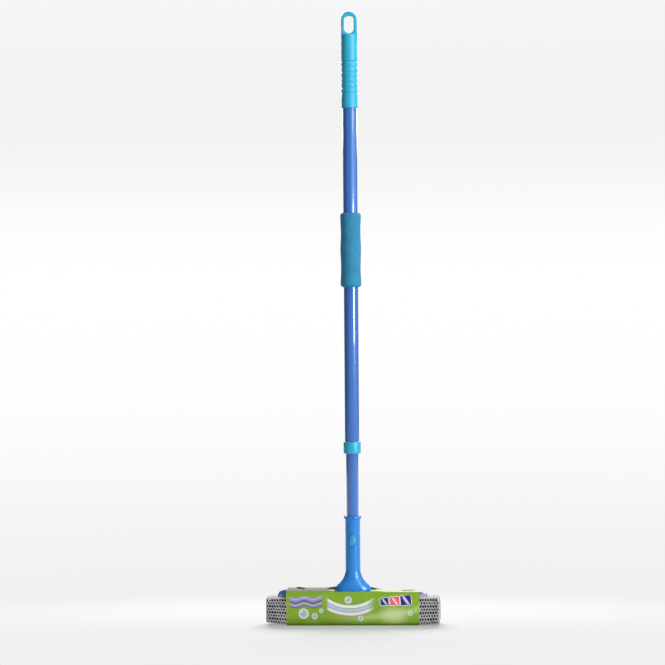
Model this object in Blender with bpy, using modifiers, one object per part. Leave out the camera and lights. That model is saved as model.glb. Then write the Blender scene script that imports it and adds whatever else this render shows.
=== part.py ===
"""Telescopic window squeegee: a netted sponge and a rubber blade on a two-tube pole.

The squeegee stands upright on its head, with a card sleeve round the head. The origin is on
the floor, on the pole's axis. +Z is up the pole, -Y is the front and +X is along the head.
"""
import math

import bmesh
import bpy
from mathutils import Matrix, Vector

# Shared values
CLEARANCE = 0.0003
OVERRUN = 0.002
MERGE_DISTANCE = 0.000001
ROUND_STEPS = 32
SMOOTH_ANGLE = math.radians(35)

# Netted sponge
NET_LENGTH = 0.268
NET_DEPTH = 0.0422
NET_HEIGHT = 0.0415
NET_THICKNESS = 0.0008
NET_CORNER_RADIUS = 0.005
NET_END_RADIUS = 0.0035
NET_SWELL = 0.0004
NET_HOLE_PITCH = 0.004
NET_ROW_PITCH = 0.005
NET_HOLE_WIDTH = 0.0027
NET_HOLE_HEIGHT = 0.0036
NET_HOLE_MARGIN = 0.0006
NET_ROW_MARGIN = 0.0014
CORNER_STEPS = 3
END_STEPS = 3
SWELL_STEPS = 4

# Seam threads on the net's ends
THREAD_RADIUS = 0.0004
STITCH_REACH = 0.0022
STITCHES = 8
SEAM_MARGIN = 0.006

# Backing plate between sponge and frame
BACKING_INSET = 0.0061
BACKING_THICKNESS = 0.003
BACKING_CORNER_RADIUS = 0.006

# Screws that hold the backing plate to the frame
SCREW_RADIUS = 0.00145
SCREW_HEAD_RADIUS = 0.003
SCREW_HEAD_THICKNESS = 0.0014
SCREW_GRIP = 0.007
INNER_SCREW_OFFSET = 0.040
SCREW_END_DISTANCE = 0.009

# Head frame
WEB_END_SETBACK = 0.019
WEB_THICKNESS = 0.004
WEB_HEIGHT = 0.0109
WEB_END_EDGE = 0.0005
FLANGE_END_SETBACK = 0.012
FLANGE_DEPTH = 0.012
FLANGE_THICKNESS = 0.002
BOSS_RADIUS = 0.004
BOSS_TOP_WALL = 0.0008
WING_RISE = 0.004
WING_OVERLAP = 0.0027
WING_RUN = 0.014
FLARE_RADIUS = 0.029
FLARE_FOOT_DEPTH = 0.014
BARREL_LENGTH = 0.0838
SOCKET_WALL = 0.0019
RIM_HEIGHT = 0.005
RIM_PROJECTION = 0.0019
FLARE_STEPS = 7
WEB_CORNER_STEPS = 6

# Rubber blade and the jaw that holds it
BLADE_LEAN = math.radians(32)
JAW_WALL = 0.0013
JAW_LIFT = 0.0003
JAW_MOUTH_DEPTH = 0.0024
BEAD_WIDTH = 0.0032
BEAD_DEPTH = 0.0022
LIP_ROOT_THICKNESS = 0.0018
LIP_TIP_THICKNESS = 0.001
LIP_BACK_GAP = 0.0017
LIP_DRAW_BACK = 0.0017
LIP_RISE = 0.0029
STOP_LENGTH = 0.003
BLADE_STATIONS = 48

# Card sleeve
BARE_END_LENGTH = 0.031
CARD_THICKNESS = 0.0006
FOLD_RADIUS = 0.002
SLEEVE_HEADROOM = 0.0017
FOLD_STEPS = 3
NECK_HOLE_GAP = 0.0035
NECK_HOLE_OVERREACH = 0.002
NECK_HOLE_FORWARD = 0.0045
NECK_NOTCH_DEPTH = 0.001
NECK_SLOT_REACH = 0.044
LIP_SLOT_END_DISTANCE = 0.011
LIP_SLOT_LENGTH = 0.020
LIP_SLOT_GAP = 0.0006
LIP_SLOT_CORNER_RADIUS = 0.0015
LIP_SLOT_MARGIN = 0.002
LIP_SLOT_EASE = 0.004

# Lower pole
INNER_TUBE_RADIUS = 0.0095
TUBE_WALL = 0.0005
INNER_TUBE_LENGTH = 0.6213
TUBE_INSERTION = 0.0206
ADAPTER_WALL = 0.0029
SPIGOT_LENGTH = 0.034
PIN_RADIUS = 0.0015

# Release tongue with its leaf-shaped button
BUTTON_MARGIN = 0.0024
BUTTON_LENGTH = 0.0200
BUTTON_TIP_SHARE = 0.6
BUTTON_RECESS = 0.0002
WINDOW_CLEARANCE = 0.00035
TONGUE_ARM = 0.033
TONGUE_ROOT = 0.0167
TONGUE_WIDTH = 0.0104
TONGUE_THICKNESS = 0.002
TONGUE_END_GAP = 0.001
TONGUE_LAND = 0.004
LEAF_STEPS = 6

# Twist lock at the inner tube's top
PLUG_SPIGOT_LENGTH = 0.025
PLUG_FLANGE_THICKNESS = 0.004
SPINDLE_RADIUS = 0.004
EXPANDER_LENGTH = 0.020
EXPANDER_SLIT = 0.0015
CAP_HEAD_RADIUS = 0.0065
CAP_HEAD_THICKNESS = 0.0025
CAP_SHANK_RADIUS = 0.0016
CAP_SHANK_LENGTH = 0.010

# Upper pole
TUBE_GAP = 0.001
COLLAPSE_TRAVEL = 0.095
COLLAR_STAND_OFF = 0.001
LOCK_HEADROOM = 0.0076
COLLAR_WALL = 0.0023
COLLAR_LENGTH = 0.0186
COLLAR_LIP = 0.003
COLLAR_CHAMFER = 0.0008
FOAM_THICKNESS = 0.005
FOAM_LENGTH = 0.1154
FOAM_RISE = 0.2547
FOAM_DIP = 0.0007
FOAM_END_RADIUS = 0.0025
FOAM_STEPS = 16

# Hanger grip
HANGER_WALL = 0.0016
HANGER_OVERLAP = 0.0995
HANGER_CROWN_HEIGHT = 0.0503
HANGER_CHAMFER = 0.0012
HANGER_CHEEK_DEPTH = 0.014
HANGER_CROWN_WALL = 0.003
HANGER_CHEEK_RADIUS = 0.012
SLOT_LENGTH = 0.0274
SLOT_WIDTH = 0.0145
SLOT_DROP = 0.0208
GROOVES = 6
GROOVE_PITCH = 0.009
GROOVE_WIDTH = 0.003
GROOVE_DEPTH = 0.0007
GROOVE_START = 0.0222
DOME_STEPS = 6
CHEEK_STEPS = 4
SLOT_STEPS = 8

# Heights above the floor, stacked from the card's bottom panel to the hanger's top
NET_BOTTOM = CARD_THICKNESS + CLEARANCE
NET_TOP = NET_BOTTOM + NET_HEIGHT
BACKING_TOP = NET_TOP - NET_THICKNESS - CLEARANCE
BACKING_BOTTOM = BACKING_TOP - BACKING_THICKNESS
SPONGE_TOP = BACKING_BOTTOM - CLEARANCE
FRAME_BOTTOM = BACKING_TOP + CLEARANCE
WEB_TOP = FRAME_BOTTOM + WEB_HEIGHT
SLEEVE_HEIGHT = WEB_TOP + SLEEVE_HEADROOM + CARD_THICKNESS
NECK_FOOT = NET_TOP + 2 * CLEARANCE
FLARE_BOTTOM = WEB_TOP + WING_RISE
FLARE_TOP = FLARE_BOTTOM + FLARE_RADIUS
RIM_TOP = FLARE_TOP + BARREL_LENGTH
INNER_TUBE_BOTTOM = RIM_TOP - TUBE_INSERTION
INNER_TUBE_TOP = INNER_TUBE_BOTTOM + INNER_TUBE_LENGTH
ADAPTER_SHOULDER = INNER_TUBE_BOTTOM - CLEARANCE
TONGUE_TOP = ADAPTER_SHOULDER - TONGUE_LAND - TONGUE_END_GAP
BUTTON_HEIGHT = TONGUE_TOP - BUTTON_MARGIN - BUTTON_LENGTH / 2
TONGUE_HINGE_HEIGHT = BUTTON_HEIGHT - TONGUE_ARM
SOCKET_FLOOR = TONGUE_HINGE_HEIGHT - TONGUE_ROOT
PLUG_FLANGE_BOTTOM = INNER_TUBE_TOP + CLEARANCE
EXPANDER_BOTTOM = PLUG_FLANGE_BOTTOM + PLUG_FLANGE_THICKNESS + CLEARANCE
SPINDLE_TOP = EXPANDER_BOTTOM + EXPANDER_LENGTH + CLEARANCE
COLLAR_BOTTOM = RIM_TOP + COLLAR_STAND_OFF + COLLAPSE_TRAVEL
OUTER_TUBE_BOTTOM = COLLAR_BOTTOM + COLLAR_LIP + CLEARANCE
OUTER_TUBE_TOP = SPINDLE_TOP + CAP_HEAD_THICKNESS + LOCK_HEADROOM + COLLAPSE_TRAVEL
OUTER_TUBE_LENGTH = OUTER_TUBE_TOP - OUTER_TUBE_BOTTOM
FOAM_BOTTOM = OUTER_TUBE_BOTTOM + FOAM_RISE
HANGER_BOTTOM = OUTER_TUBE_TOP - HANGER_OVERLAP
HANGER_TOP = OUTER_TUBE_TOP + HANGER_CROWN_HEIGHT

# Lengths along the head that follow from the sponge's, and places measured from the middle
WEB_LENGTH = NET_LENGTH - 2 * WEB_END_SETBACK
FLANGE_LENGTH = WEB_LENGTH - 2 * FLANGE_END_SETBACK
SLEEVE_LENGTH = NET_LENGTH - 2 * BARE_END_LENGTH
OUTER_SCREW_OFFSET = FLANGE_LENGTH / 2 - SCREW_END_DISTANCE
LIP_SLOT_END = SLEEVE_LENGTH / 2 - LIP_SLOT_END_DISTANCE
LIP_SLOT_START = LIP_SLOT_END - LIP_SLOT_LENGTH

# Widths that follow from what a piece fits round or into
SLEEVE_DEPTH = NET_DEPTH + 2 * (CARD_THICKNESS + CLEARANCE)
SOCKET_RADIUS = INNER_TUBE_RADIUS + CLEARANCE
BARREL_RADIUS = SOCKET_RADIUS + SOCKET_WALL
WING_TOP_REACH = BARREL_RADIUS + FLARE_RADIUS - WING_OVERLAP
WING_FOOT_REACH = WING_TOP_REACH + WING_RUN
NECK_HOLE_REACH = WING_FOOT_REACH - WING_RUN * SLEEVE_HEADROOM / WING_RISE + NECK_HOLE_GAP
OUTER_TUBE_RADIUS = INNER_TUBE_RADIUS + TUBE_GAP + TUBE_WALL
COLLAR_RADIUS = OUTER_TUBE_RADIUS + COLLAR_WALL
FOAM_RADIUS = OUTER_TUBE_RADIUS + FOAM_THICKNESS
HANGER_RADIUS = OUTER_TUBE_RADIUS + HANGER_WALL
ADAPTER_BORE_RADIUS = INNER_TUBE_RADIUS - ADAPTER_WALL
SPIGOT_RADIUS = INNER_TUBE_RADIUS - TUBE_WALL - CLEARANCE
PIN_HOLE_RADIUS = PIN_RADIUS + CLEARANCE
SCREW_HOLE_RADIUS = SCREW_RADIUS + CLEARANCE
LOCK_RADIUS = OUTER_TUBE_RADIUS - TUBE_WALL - CLEARANCE
TUBE_SEAT_RADIUS = OUTER_TUBE_RADIUS + CLEARANCE
BEAD_SLOT_WIDTH = BEAD_WIDTH + 2 * CLEARANCE
BEAD_SLOT_DEPTH = BEAD_DEPTH + 2 * CLEARANCE
MOUTH_WIDTH = LIP_ROOT_THICKNESS + 2 * CLEARANCE
JAW_WIDTH = BEAD_SLOT_WIDTH + 2 * JAW_WALL
JAW_DEPTH = JAW_WALL + BEAD_SLOT_DEPTH + JAW_MOUTH_DEPTH

SKY_BLUE_PLASTIC = ("sky_blue_plastic", (0.045, 0.235, 0.72, 1.0), 0.32, 0.0)
CYAN_PLASTIC = ("cyan_plastic", (0.045, 0.43, 0.66, 1.0), 0.38, 0.0)
BLUE_PAINT = ("blue_paint", (0.05, 0.14, 0.50, 1.0), 0.22, 0.0)
TEAL_FOAM = ("teal_foam", (0.035, 0.24, 0.40, 1.0), 0.9, 0.0)
BLACK_RUBBER = ("black_rubber", (0.012, 0.012, 0.013, 1.0), 0.6, 0.0)
DARK_SPONGE = ("dark_sponge", (0.02, 0.02, 0.025, 1.0), 0.95, 0.0)
GREY_NET = ("grey_net", (0.42, 0.41, 0.43, 1.0), 0.7, 0.0)
GREEN_CARD = ("green_card", (0.21, 0.36, 0.03, 1.0), 0.35, 0.0)
WHITE_THREAD = ("white_thread", (0.6, 0.6, 0.6, 1.0), 0.8, 0.0)
GREY_NYLON = ("grey_nylon", (0.35, 0.36, 0.38, 1.0), 0.5, 0.0)
STEEL = ("steel", (0.55, 0.55, 0.56, 1.0), 0.3, 1.0)


def clear_scene():
    """Remove what the scene holds and add the collections for the pieces and the cutters."""
    for item in list(bpy.data.objects):
        bpy.data.objects.remove(item, do_unlink=True)
    for name in ("window_squeegee", "cutters"):
        collection = bpy.data.collections.new(name)
        bpy.context.scene.collection.children.link(collection)


def finish_with(obj, look):
    """Give the object its own Principled material."""
    label, colour, roughness, metallic = look
    material = bpy.data.materials.new(f"{obj.name}_{label}")
    material.use_nodes = True
    shader = material.node_tree.nodes["Principled BSDF"]
    shader.inputs["Base Color"].default_value = colour
    shader.inputs["Roughness"].default_value = roughness
    shader.inputs["Metallic"].default_value = metallic
    material.diffuse_color = colour
    obj.data.materials.clear()
    obj.data.materials.append(material)


def place(name, mesh, look=None, location=(0, 0, 0)):
    """Link a mesh as a piece, or as a cutter when it has no look."""
    obj = bpy.data.objects.new(name, mesh)
    obj.location = location
    if look is None:
        bpy.data.collections["cutters"].objects.link(obj)
        obj.hide_render = True
        obj.display_type = "WIRE"
    else:
        bpy.data.collections["window_squeegee"].objects.link(obj)
        finish_with(obj, look)
    return obj


def combine(target, tool, operation):
    """Add a Boolean modifier that joins, cuts or keeps with the tool."""
    modifier = target.modifiers.new(f"{operation.lower()}_{tool.name}", "BOOLEAN")
    modifier.operation = operation
    modifier.solver = "EXACT"
    modifier.object = tool


def box_mesh(name, size, centre=(0, 0, 0)):
    """A box of the given size about its centre."""
    mesh = bpy.data.meshes.new(name)
    shape = bmesh.new()
    scale = Matrix.Diagonal((*size, 1))
    bmesh.ops.create_cube(shape, size=1, matrix=Matrix.Translation(centre) @ scale)
    shape.to_mesh(mesh)
    shape.free()
    return mesh


def cylinder_mesh(name, rods, steps=ROUND_STEPS):
    """Separate rods in one mesh: each is (radius, start point, end point)."""
    mesh = bpy.data.meshes.new(name)
    shape = bmesh.new()
    for radius, start, end in rods:
        start, end = Vector(start), Vector(end)
        along = end - start
        turn = Vector((0, 0, 1)).rotation_difference(along).to_matrix().to_4x4()
        bmesh.ops.create_cone(
            shape, cap_ends=True, segments=steps, radius1=radius, radius2=radius,
            depth=along.length, matrix=Matrix.Translation((start + end) / 2) @ turn)
    shape.to_mesh(mesh)
    shape.free()
    mesh.shade_smooth()
    mesh.set_sharp_from_angle(angle=SMOOTH_ANGLE)
    return mesh


def turned(name, profile, look, height, closed=True, steps=ROUND_STEPS, across=0):
    """Turn a profile of (radius, height) about an upright axis with a Screw modifier."""
    mesh = bpy.data.meshes.new(name)
    shape = bmesh.new()
    points = [shape.verts.new((radius, 0, level)) for radius, level in profile]
    for first, second in zip(points, points[1:]):
        shape.edges.new((first, second))
    if closed:
        shape.edges.new((points[-1], points[0]))
    shape.to_mesh(mesh)
    shape.free()
    obj = place(name, mesh, look, (across, 0, height))
    screw = obj.modifiers.new("turn", "SCREW")
    screw.steps = steps
    screw.render_steps = steps
    screw.use_merge_vertices = True
    screw.merge_threshold = MERGE_DISTANCE
    screw.use_smooth_shade = True
    return obj


def tube_profile(outer, inner, length):
    """The section of a plain tube, standing on height 0."""
    return [(outer, length), (outer, 0), (inner, 0), (inner, length)]


def outline_mesh(name, loops, thickness, turn):
    """Fill flat outlines, a later loop being a hole in an earlier one, and extrude them."""
    curve = bpy.data.curves.new(name, "CURVE")
    curve.dimensions = "2D"
    curve.fill_mode = "BOTH"
    curve.extrude = thickness / 2
    for loop in loops:
        spline = curve.splines.new("POLY")
        spline.points.add(len(loop) - 1)
        spline.use_cyclic_u = True
        for point, (across, up) in zip(spline.points, loop):
            point.co = (across, up, 0, 1)
    guide = bpy.data.objects.new(name + "_outline", curve)
    bpy.context.scene.collection.objects.link(guide)
    evaluated = guide.evaluated_get(bpy.context.evaluated_depsgraph_get())
    mesh = bpy.data.meshes.new_from_object(evaluated)
    mesh.name = name
    bpy.data.objects.remove(guide, do_unlink=True)
    shape = bmesh.new()
    shape.from_mesh(mesh)
    bmesh.ops.remove_doubles(shape, verts=shape.verts, dist=MERGE_DISTANCE)
    bmesh.ops.transform(shape, matrix=turn, verts=shape.verts)
    bmesh.ops.recalc_face_normals(shape, faces=shape.faces)
    shape.to_mesh(mesh)
    shape.free()
    mesh.materials.clear()
    mesh.shade_smooth()
    mesh.set_sharp_from_angle(angle=SMOOTH_ANGLE)
    return mesh


# An outline drawn as (x, z) and given its thickness along Y
FACING_FRONT = Matrix.Rotation(math.pi / 2, 4, "X")
# An outline drawn as (y, z) and given its thickness along X
FACING_SIDE = Matrix.Rotation(math.pi / 2, 4, "Z") @ Matrix.Rotation(math.pi / 2, 4, "X")
# An outline drawn as (x, y) and given its thickness along Z
FACING_UP = Matrix.Identity(4)


def loft_mesh(name, sections):
    """Skin a row of sections, each with as many points, and close both ends."""
    mesh = bpy.data.meshes.new(name)
    shape = bmesh.new()
    rings = [[shape.verts.new(point) for point in section] for section in sections]
    for near, far in zip(rings, rings[1:]):
        for index, vertex in enumerate(near):
            following = (index + 1) % len(near)
            shape.faces.new((vertex, near[following], far[following], far[index]))
    shape.faces.new(rings[0])
    shape.faces.new(rings[-1])
    bmesh.ops.recalc_face_normals(shape, faces=shape.faces)
    shape.to_mesh(mesh)
    shape.free()
    mesh.shade_smooth()
    mesh.set_sharp_from_angle(angle=SMOOTH_ANGLE)
    return mesh


def rounded_rectangle(left, right, bottom, top, radius, steps):
    """Points round a rectangle with rounded corners, anticlockwise from the right side."""
    corners = (
        (right - radius, bottom + radius, -math.pi / 2), (right - radius, top - radius, 0),
        (left + radius, top - radius, math.pi / 2), (left + radius, bottom + radius, math.pi))
    points = []
    for across, up, start in corners:
        for step in range(steps + 1):
            angle = start + step * math.pi / 2 / steps
            points.append((across + radius * math.cos(angle), up + radius * math.sin(angle)))
    return points


def padded_sections(inset, top):
    """Sections of the sponge along X, drawn in at the ends and swelling where the card ends."""
    half = NET_LENGTH / 2
    covered = SLEEVE_LENGTH / 2
    swell_end = half - NET_END_RADIUS
    stations = []
    for step in range(SWELL_STEPS + 1):
        share = step / SWELL_STEPS
        growth = NET_SWELL * math.sin(math.pi * share)
        stations.append((covered + share * (swell_end - covered), growth))
    for step in range(1, END_STEPS + 1):
        angle = step * math.pi / 2 / END_STEPS
        draw = NET_END_RADIUS * (1 - math.cos(angle))
        stations.append((swell_end + NET_END_RADIUS * math.sin(angle), -draw))
    sections = []
    mirrored = [(-place_x, growth) for place_x, growth in reversed(stations)]
    for place_x, growth in mirrored + stations:
        side = NET_DEPTH / 2 - inset + growth
        low = NET_BOTTOM + inset - growth
        high = top + min(growth, 0)
        reach = min(max(abs(place_x) - inset, 0), abs(place_x))
        section = rounded_rectangle(-side, side, low, high, NET_CORNER_RADIUS - inset, CORNER_STEPS)
        sections.append([(math.copysign(reach, place_x), across, up) for across, up in section])
    return sections


def make_net():
    """Net cover: a thin sock round sponge and backing, with its mesh open where it shows."""
    net = place("net_cover", loft_mesh("net_cover", padded_sections(0, NET_TOP)), GREY_NET)
    hollow = loft_mesh("net_hollow", padded_sections(NET_THICKNESS, NET_TOP - NET_THICKNESS))
    combine(net, place("net_hollow", hollow), "DIFFERENCE")
    slit_size = (WEB_LENGTH + 2 * CLEARANCE, FLANGE_DEPTH + 2 * CLEARANCE, NET_THICKNESS + 2 * OVERRUN)
    slit = box_mesh("net_slit", slit_size, (0, 0, NET_TOP - NET_THICKNESS / 2))
    combine(net, place("net_slit", slit), "DIFFERENCE")
    combine(net, place("net_holes", net_hole_mesh()), "DIFFERENCE")
    return net


def net_hole_mesh():
    """Diamond prisms in staggered rows through the front and the back of both bare ends."""
    middle = (NET_BOTTOM + NET_TOP) / 2
    start = SLEEVE_LENGTH / 2 + NET_HOLE_MARGIN + NET_HOLE_WIDTH / 2
    end = NET_LENGTH / 2 - NET_END_RADIUS - NET_HOLE_WIDTH / 2
    run = NET_DEPTH + 2 * (NET_SWELL + OVERRUN)
    rows = 1 + int((NET_HEIGHT - 2 * NET_ROW_MARGIN - NET_HOLE_HEIGHT) / NET_ROW_PITCH)
    loops = []
    for row in range(rows):
        up = middle + (row - (rows - 1) / 2) * NET_ROW_PITCH
        across = start + (row % 2) * NET_HOLE_PITCH / 2
        while across <= end:
            for side in (-1, 1):
                loops.append([
                    (side * across + NET_HOLE_WIDTH / 2, up), (side * across, up + NET_HOLE_HEIGHT / 2),
                    (side * across - NET_HOLE_WIDTH / 2, up), (side * across, up - NET_HOLE_HEIGHT / 2)])
            across += NET_HOLE_PITCH
    return outline_mesh("net_holes", loops, run, FACING_FRONT)


def make_seams():
    """Zigzag threads that close the net's two ends."""
    low = NET_BOTTOM + SEAM_MARGIN
    high = NET_TOP - SEAM_MARGIN
    for side, label in ((-1, "left"), (1, "right")):
        curve = bpy.data.curves.new(f"net_seam_{label}", "CURVE")
        curve.dimensions = "3D"
        curve.bevel_depth = THREAD_RADIUS
        curve.bevel_resolution = 1
        curve.use_fill_caps = True
        spline = curve.splines.new("POLY")
        spline.points.add(STITCHES)
        for index, point in enumerate(spline.points):
            reach = STITCH_REACH if index % 2 else -STITCH_REACH
            up = low + index * (high - low) / STITCHES
            point.co = (0, reach, up, 1)
        seam = bpy.data.objects.new(f"net_seam_{label}", curve)
        seam.location.x = side * (NET_LENGTH / 2 + CLEARANCE + THREAD_RADIUS)
        bpy.data.collections["window_squeegee"].objects.link(seam)
        finish_with(seam, WHITE_THREAD)


def make_sponge():
    """Sponge block under the backing plate."""
    inset = NET_THICKNESS + CLEARANCE
    sponge = loft_mesh("sponge_core", padded_sections(inset, SPONGE_TOP))
    return place("sponge_core", sponge, DARK_SPONGE)


def screw_offsets():
    """Places of the backing screws along the head."""
    return [side * offset for side in (-1, 1) for offset in (INNER_SCREW_OFFSET, OUTER_SCREW_OFFSET)]


def screw_rods(radius, low, high):
    """One upright rod at each screw's place."""
    return [(radius, (offset, 0, low), (offset, 0, high)) for offset in screw_offsets()]


def make_backing():
    """Backing plate that carries the sponge, with recesses for the screw heads."""
    side = NET_DEPTH / 2 - BACKING_INSET
    plan = rounded_rectangle(
        -WEB_LENGTH / 2, WEB_LENGTH / 2, -side, side, BACKING_CORNER_RADIUS, CORNER_STEPS)
    plate = outline_mesh("sponge_backing", [plan], BACKING_THICKNESS, FACING_UP)
    middle = (BACKING_BOTTOM + BACKING_TOP) / 2
    backing = place("sponge_backing", plate, SKY_BLUE_PLASTIC, (0, 0, middle))
    recess_top = BACKING_BOTTOM + SCREW_HEAD_THICKNESS + CLEARANCE
    holes = screw_rods(SCREW_HOLE_RADIUS, recess_top - OVERRUN, BACKING_TOP + OVERRUN)
    combine(backing, place("backing_holes", cylinder_mesh("backing_holes", holes)), "DIFFERENCE")
    recesses = screw_rods(SCREW_HEAD_RADIUS + CLEARANCE, BACKING_BOTTOM - OVERRUN, recess_top)
    combine(backing, place("head_recesses", cylinder_mesh("head_recesses", recesses)), "DIFFERENCE")
    return backing


def make_screws():
    """Four screws, put in from the sponge's side."""
    tip = FRAME_BOTTOM + SCREW_GRIP - BACKING_BOTTOM
    profile = [
        (0, tip), (SCREW_RADIUS, tip), (SCREW_RADIUS, SCREW_HEAD_THICKNESS),
        (SCREW_HEAD_RADIUS, SCREW_HEAD_THICKNESS), (SCREW_HEAD_RADIUS, 0), (0, 0)]
    for index, offset in enumerate(screw_offsets()):
        turned(
            f"backing_screw_{index + 1}", profile, STEEL, BACKING_BOTTOM, closed=False,
            steps=ROUND_STEPS // 2, across=offset)


def web_outline():
    """Front view of the web: rounded upper corners and a wing rising to the neck."""
    half = WEB_LENGTH / 2
    radius = WEB_HEIGHT - WEB_END_EDGE
    right = [(half, FRAME_BOTTOM)]
    for step in range(WEB_CORNER_STEPS + 1):
        angle = step * math.pi / 2 / WEB_CORNER_STEPS
        right.append((half - radius * (1 - math.cos(angle)), WEB_TOP - radius * (1 - math.sin(angle))))
    right += [(WING_FOOT_REACH, WEB_TOP), (WING_TOP_REACH, FLARE_BOTTOM + CLEARANCE)]
    return right + [(-across, up) for across, up in reversed(right)]


def neck_sections():
    """Level sections of neck and socket: a flat flare that turns into a round barrel."""
    levels = [(BARREL_RADIUS + FLARE_RADIUS, FLARE_FOOT_DEPTH / 2, NECK_FOOT)]
    for step in range(FLARE_STEPS + 1):
        angle = math.pi / 2 * (1 - step / FLARE_STEPS)
        wide = BARREL_RADIUS + FLARE_RADIUS * (1 - math.cos(angle))
        share = math.sin(angle) ** 2
        deep = BARREL_RADIUS + (FLARE_FOOT_DEPTH / 2 - BARREL_RADIUS) * share
        levels.append((wide, deep, FLARE_TOP - FLARE_RADIUS * math.sin(angle)))
    rim = BARREL_RADIUS + RIM_PROJECTION
    levels.append((BARREL_RADIUS, BARREL_RADIUS, RIM_TOP - RIM_HEIGHT))
    levels.append((rim, rim, RIM_TOP - RIM_HEIGHT))
    levels.append((rim, rim, RIM_TOP))
    sections = []
    for wide, deep, up in levels:
        turn = [2 * math.pi * step / ROUND_STEPS for step in range(ROUND_STEPS)]
        sections.append([(wide * math.cos(a), deep * math.sin(a), up) for a in turn])
    return sections


def jaw_point(along, across):
    """A point (y, z) in the jaw: along the blade's lean from the web, and square to it."""
    start = (WEB_THICKNESS / 2, FRAME_BOTTOM + JAW_LIFT + JAW_WIDTH / 2)
    return (
        start[0] + along * math.cos(BLADE_LEAN) - across * math.sin(BLADE_LEAN),
        start[1] + along * math.sin(BLADE_LEAN) + across * math.cos(BLADE_LEAN))


def slot_outline(shrink, start, end):
    """The T-shaped slot's section, made smaller all round by shrink, from start to end."""
    wide = BEAD_SLOT_WIDTH / 2 - shrink
    narrow = MOUTH_WIDTH / 2 - shrink
    step = JAW_WALL + BEAD_SLOT_DEPTH - shrink
    return [
        jaw_point(start, -wide), jaw_point(step, -wide), jaw_point(step, -narrow),
        jaw_point(end, -narrow), jaw_point(end, narrow), jaw_point(step, narrow),
        jaw_point(step, wide), jaw_point(start, wide)]


def make_frame():
    """Head frame: socket, neck, web, flange and blade jaw in one moulding."""
    frame = place("head_frame", loft_mesh("head_frame", neck_sections()), SKY_BLUE_PLASTIC)
    web = outline_mesh("frame_web", [web_outline()], WEB_THICKNESS, FACING_FRONT)
    combine(frame, place("frame_web", web), "UNION")
    flange_size = (FLANGE_LENGTH, FLANGE_DEPTH, FLANGE_THICKNESS)
    flange = box_mesh("frame_flange", flange_size, (0, 0, FRAME_BOTTOM + FLANGE_THICKNESS / 2))
    combine(frame, place("frame_flange", flange), "UNION")
    boss_top = FRAME_BOTTOM + SCREW_GRIP + CLEARANCE + BOSS_TOP_WALL
    bosses = cylinder_mesh("screw_bosses", screw_rods(BOSS_RADIUS, NECK_FOOT, boss_top))
    combine(frame, place("screw_bosses", bosses), "UNION")
    half = JAW_WIDTH / 2
    root = -WEB_THICKNESS / 4
    jaw_loop = [
        jaw_point(root, -half), jaw_point(JAW_DEPTH, -half), jaw_point(JAW_DEPTH, half),
        jaw_point(root, half)]
    jaw = outline_mesh("blade_jaw", [jaw_loop], FLANGE_LENGTH, FACING_SIDE)
    combine(frame, place("blade_jaw", jaw), "UNION")
    slot_loop = slot_outline(0, JAW_WALL, JAW_DEPTH + OVERRUN)
    slot = outline_mesh("blade_slot", [slot_loop], FLANGE_LENGTH + 2 * OVERRUN, FACING_SIDE)
    combine(frame, place("blade_slot", slot), "DIFFERENCE")
    bore = [(SOCKET_RADIUS, (0, 0, SOCKET_FLOOR), (0, 0, RIM_TOP + OVERRUN))]
    combine(frame, place("socket_bore", cylinder_mesh("socket_bore", bore)), "DIFFERENCE")
    pilot = screw_rods(SCREW_HOLE_RADIUS, FRAME_BOTTOM - OVERRUN, FRAME_BOTTOM + SCREW_GRIP + CLEARANCE)
    combine(frame, place("pilot_holes", cylinder_mesh("pilot_holes", pilot)), "DIFFERENCE")
    window = leaf_mesh("button_window", WINDOW_CLEARANCE, BARREL_RADIUS + OVERRUN)
    combine(frame, place("button_window", window), "DIFFERENCE")
    return frame


def leaf_mesh(name, growth, front):
    """A leaf-shaped prism through the socket's front wall: round above, with a tip below."""
    wide = TONGUE_WIDTH / 2 + growth
    high = BUTTON_LENGTH / 2 + growth
    points = []
    for step in range(2 * LEAF_STEPS + 1):
        angle = math.pi * step / (2 * LEAF_STEPS)
        points.append((wide * math.cos(angle), BUTTON_HEIGHT + high * math.sin(angle)))
    tip = -wide * BUTTON_TIP_SHARE
    for step in range(1, LEAF_STEPS):
        angle = math.pi / 2 * step / LEAF_STEPS
        across = tip - (wide + tip) * math.cos(angle)
        points.append((across, BUTTON_HEIGHT - high * math.sin(angle)))
    points.append((tip, BUTTON_HEIGHT - high))
    for step in range(1, LEAF_STEPS):
        angle = math.pi / 2 * (1 - step / LEAF_STEPS)
        across = tip + (wide - tip) * math.cos(angle)
        points.append((across, BUTTON_HEIGHT - high * math.sin(angle)))
    back = ADAPTER_BORE_RADIUS + TONGUE_THICKNESS / 2
    mesh = outline_mesh(name, [points], front - back, FACING_FRONT)
    mesh.transform(Matrix.Translation((0, -(front + back) / 2, 0)))
    return mesh


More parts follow.
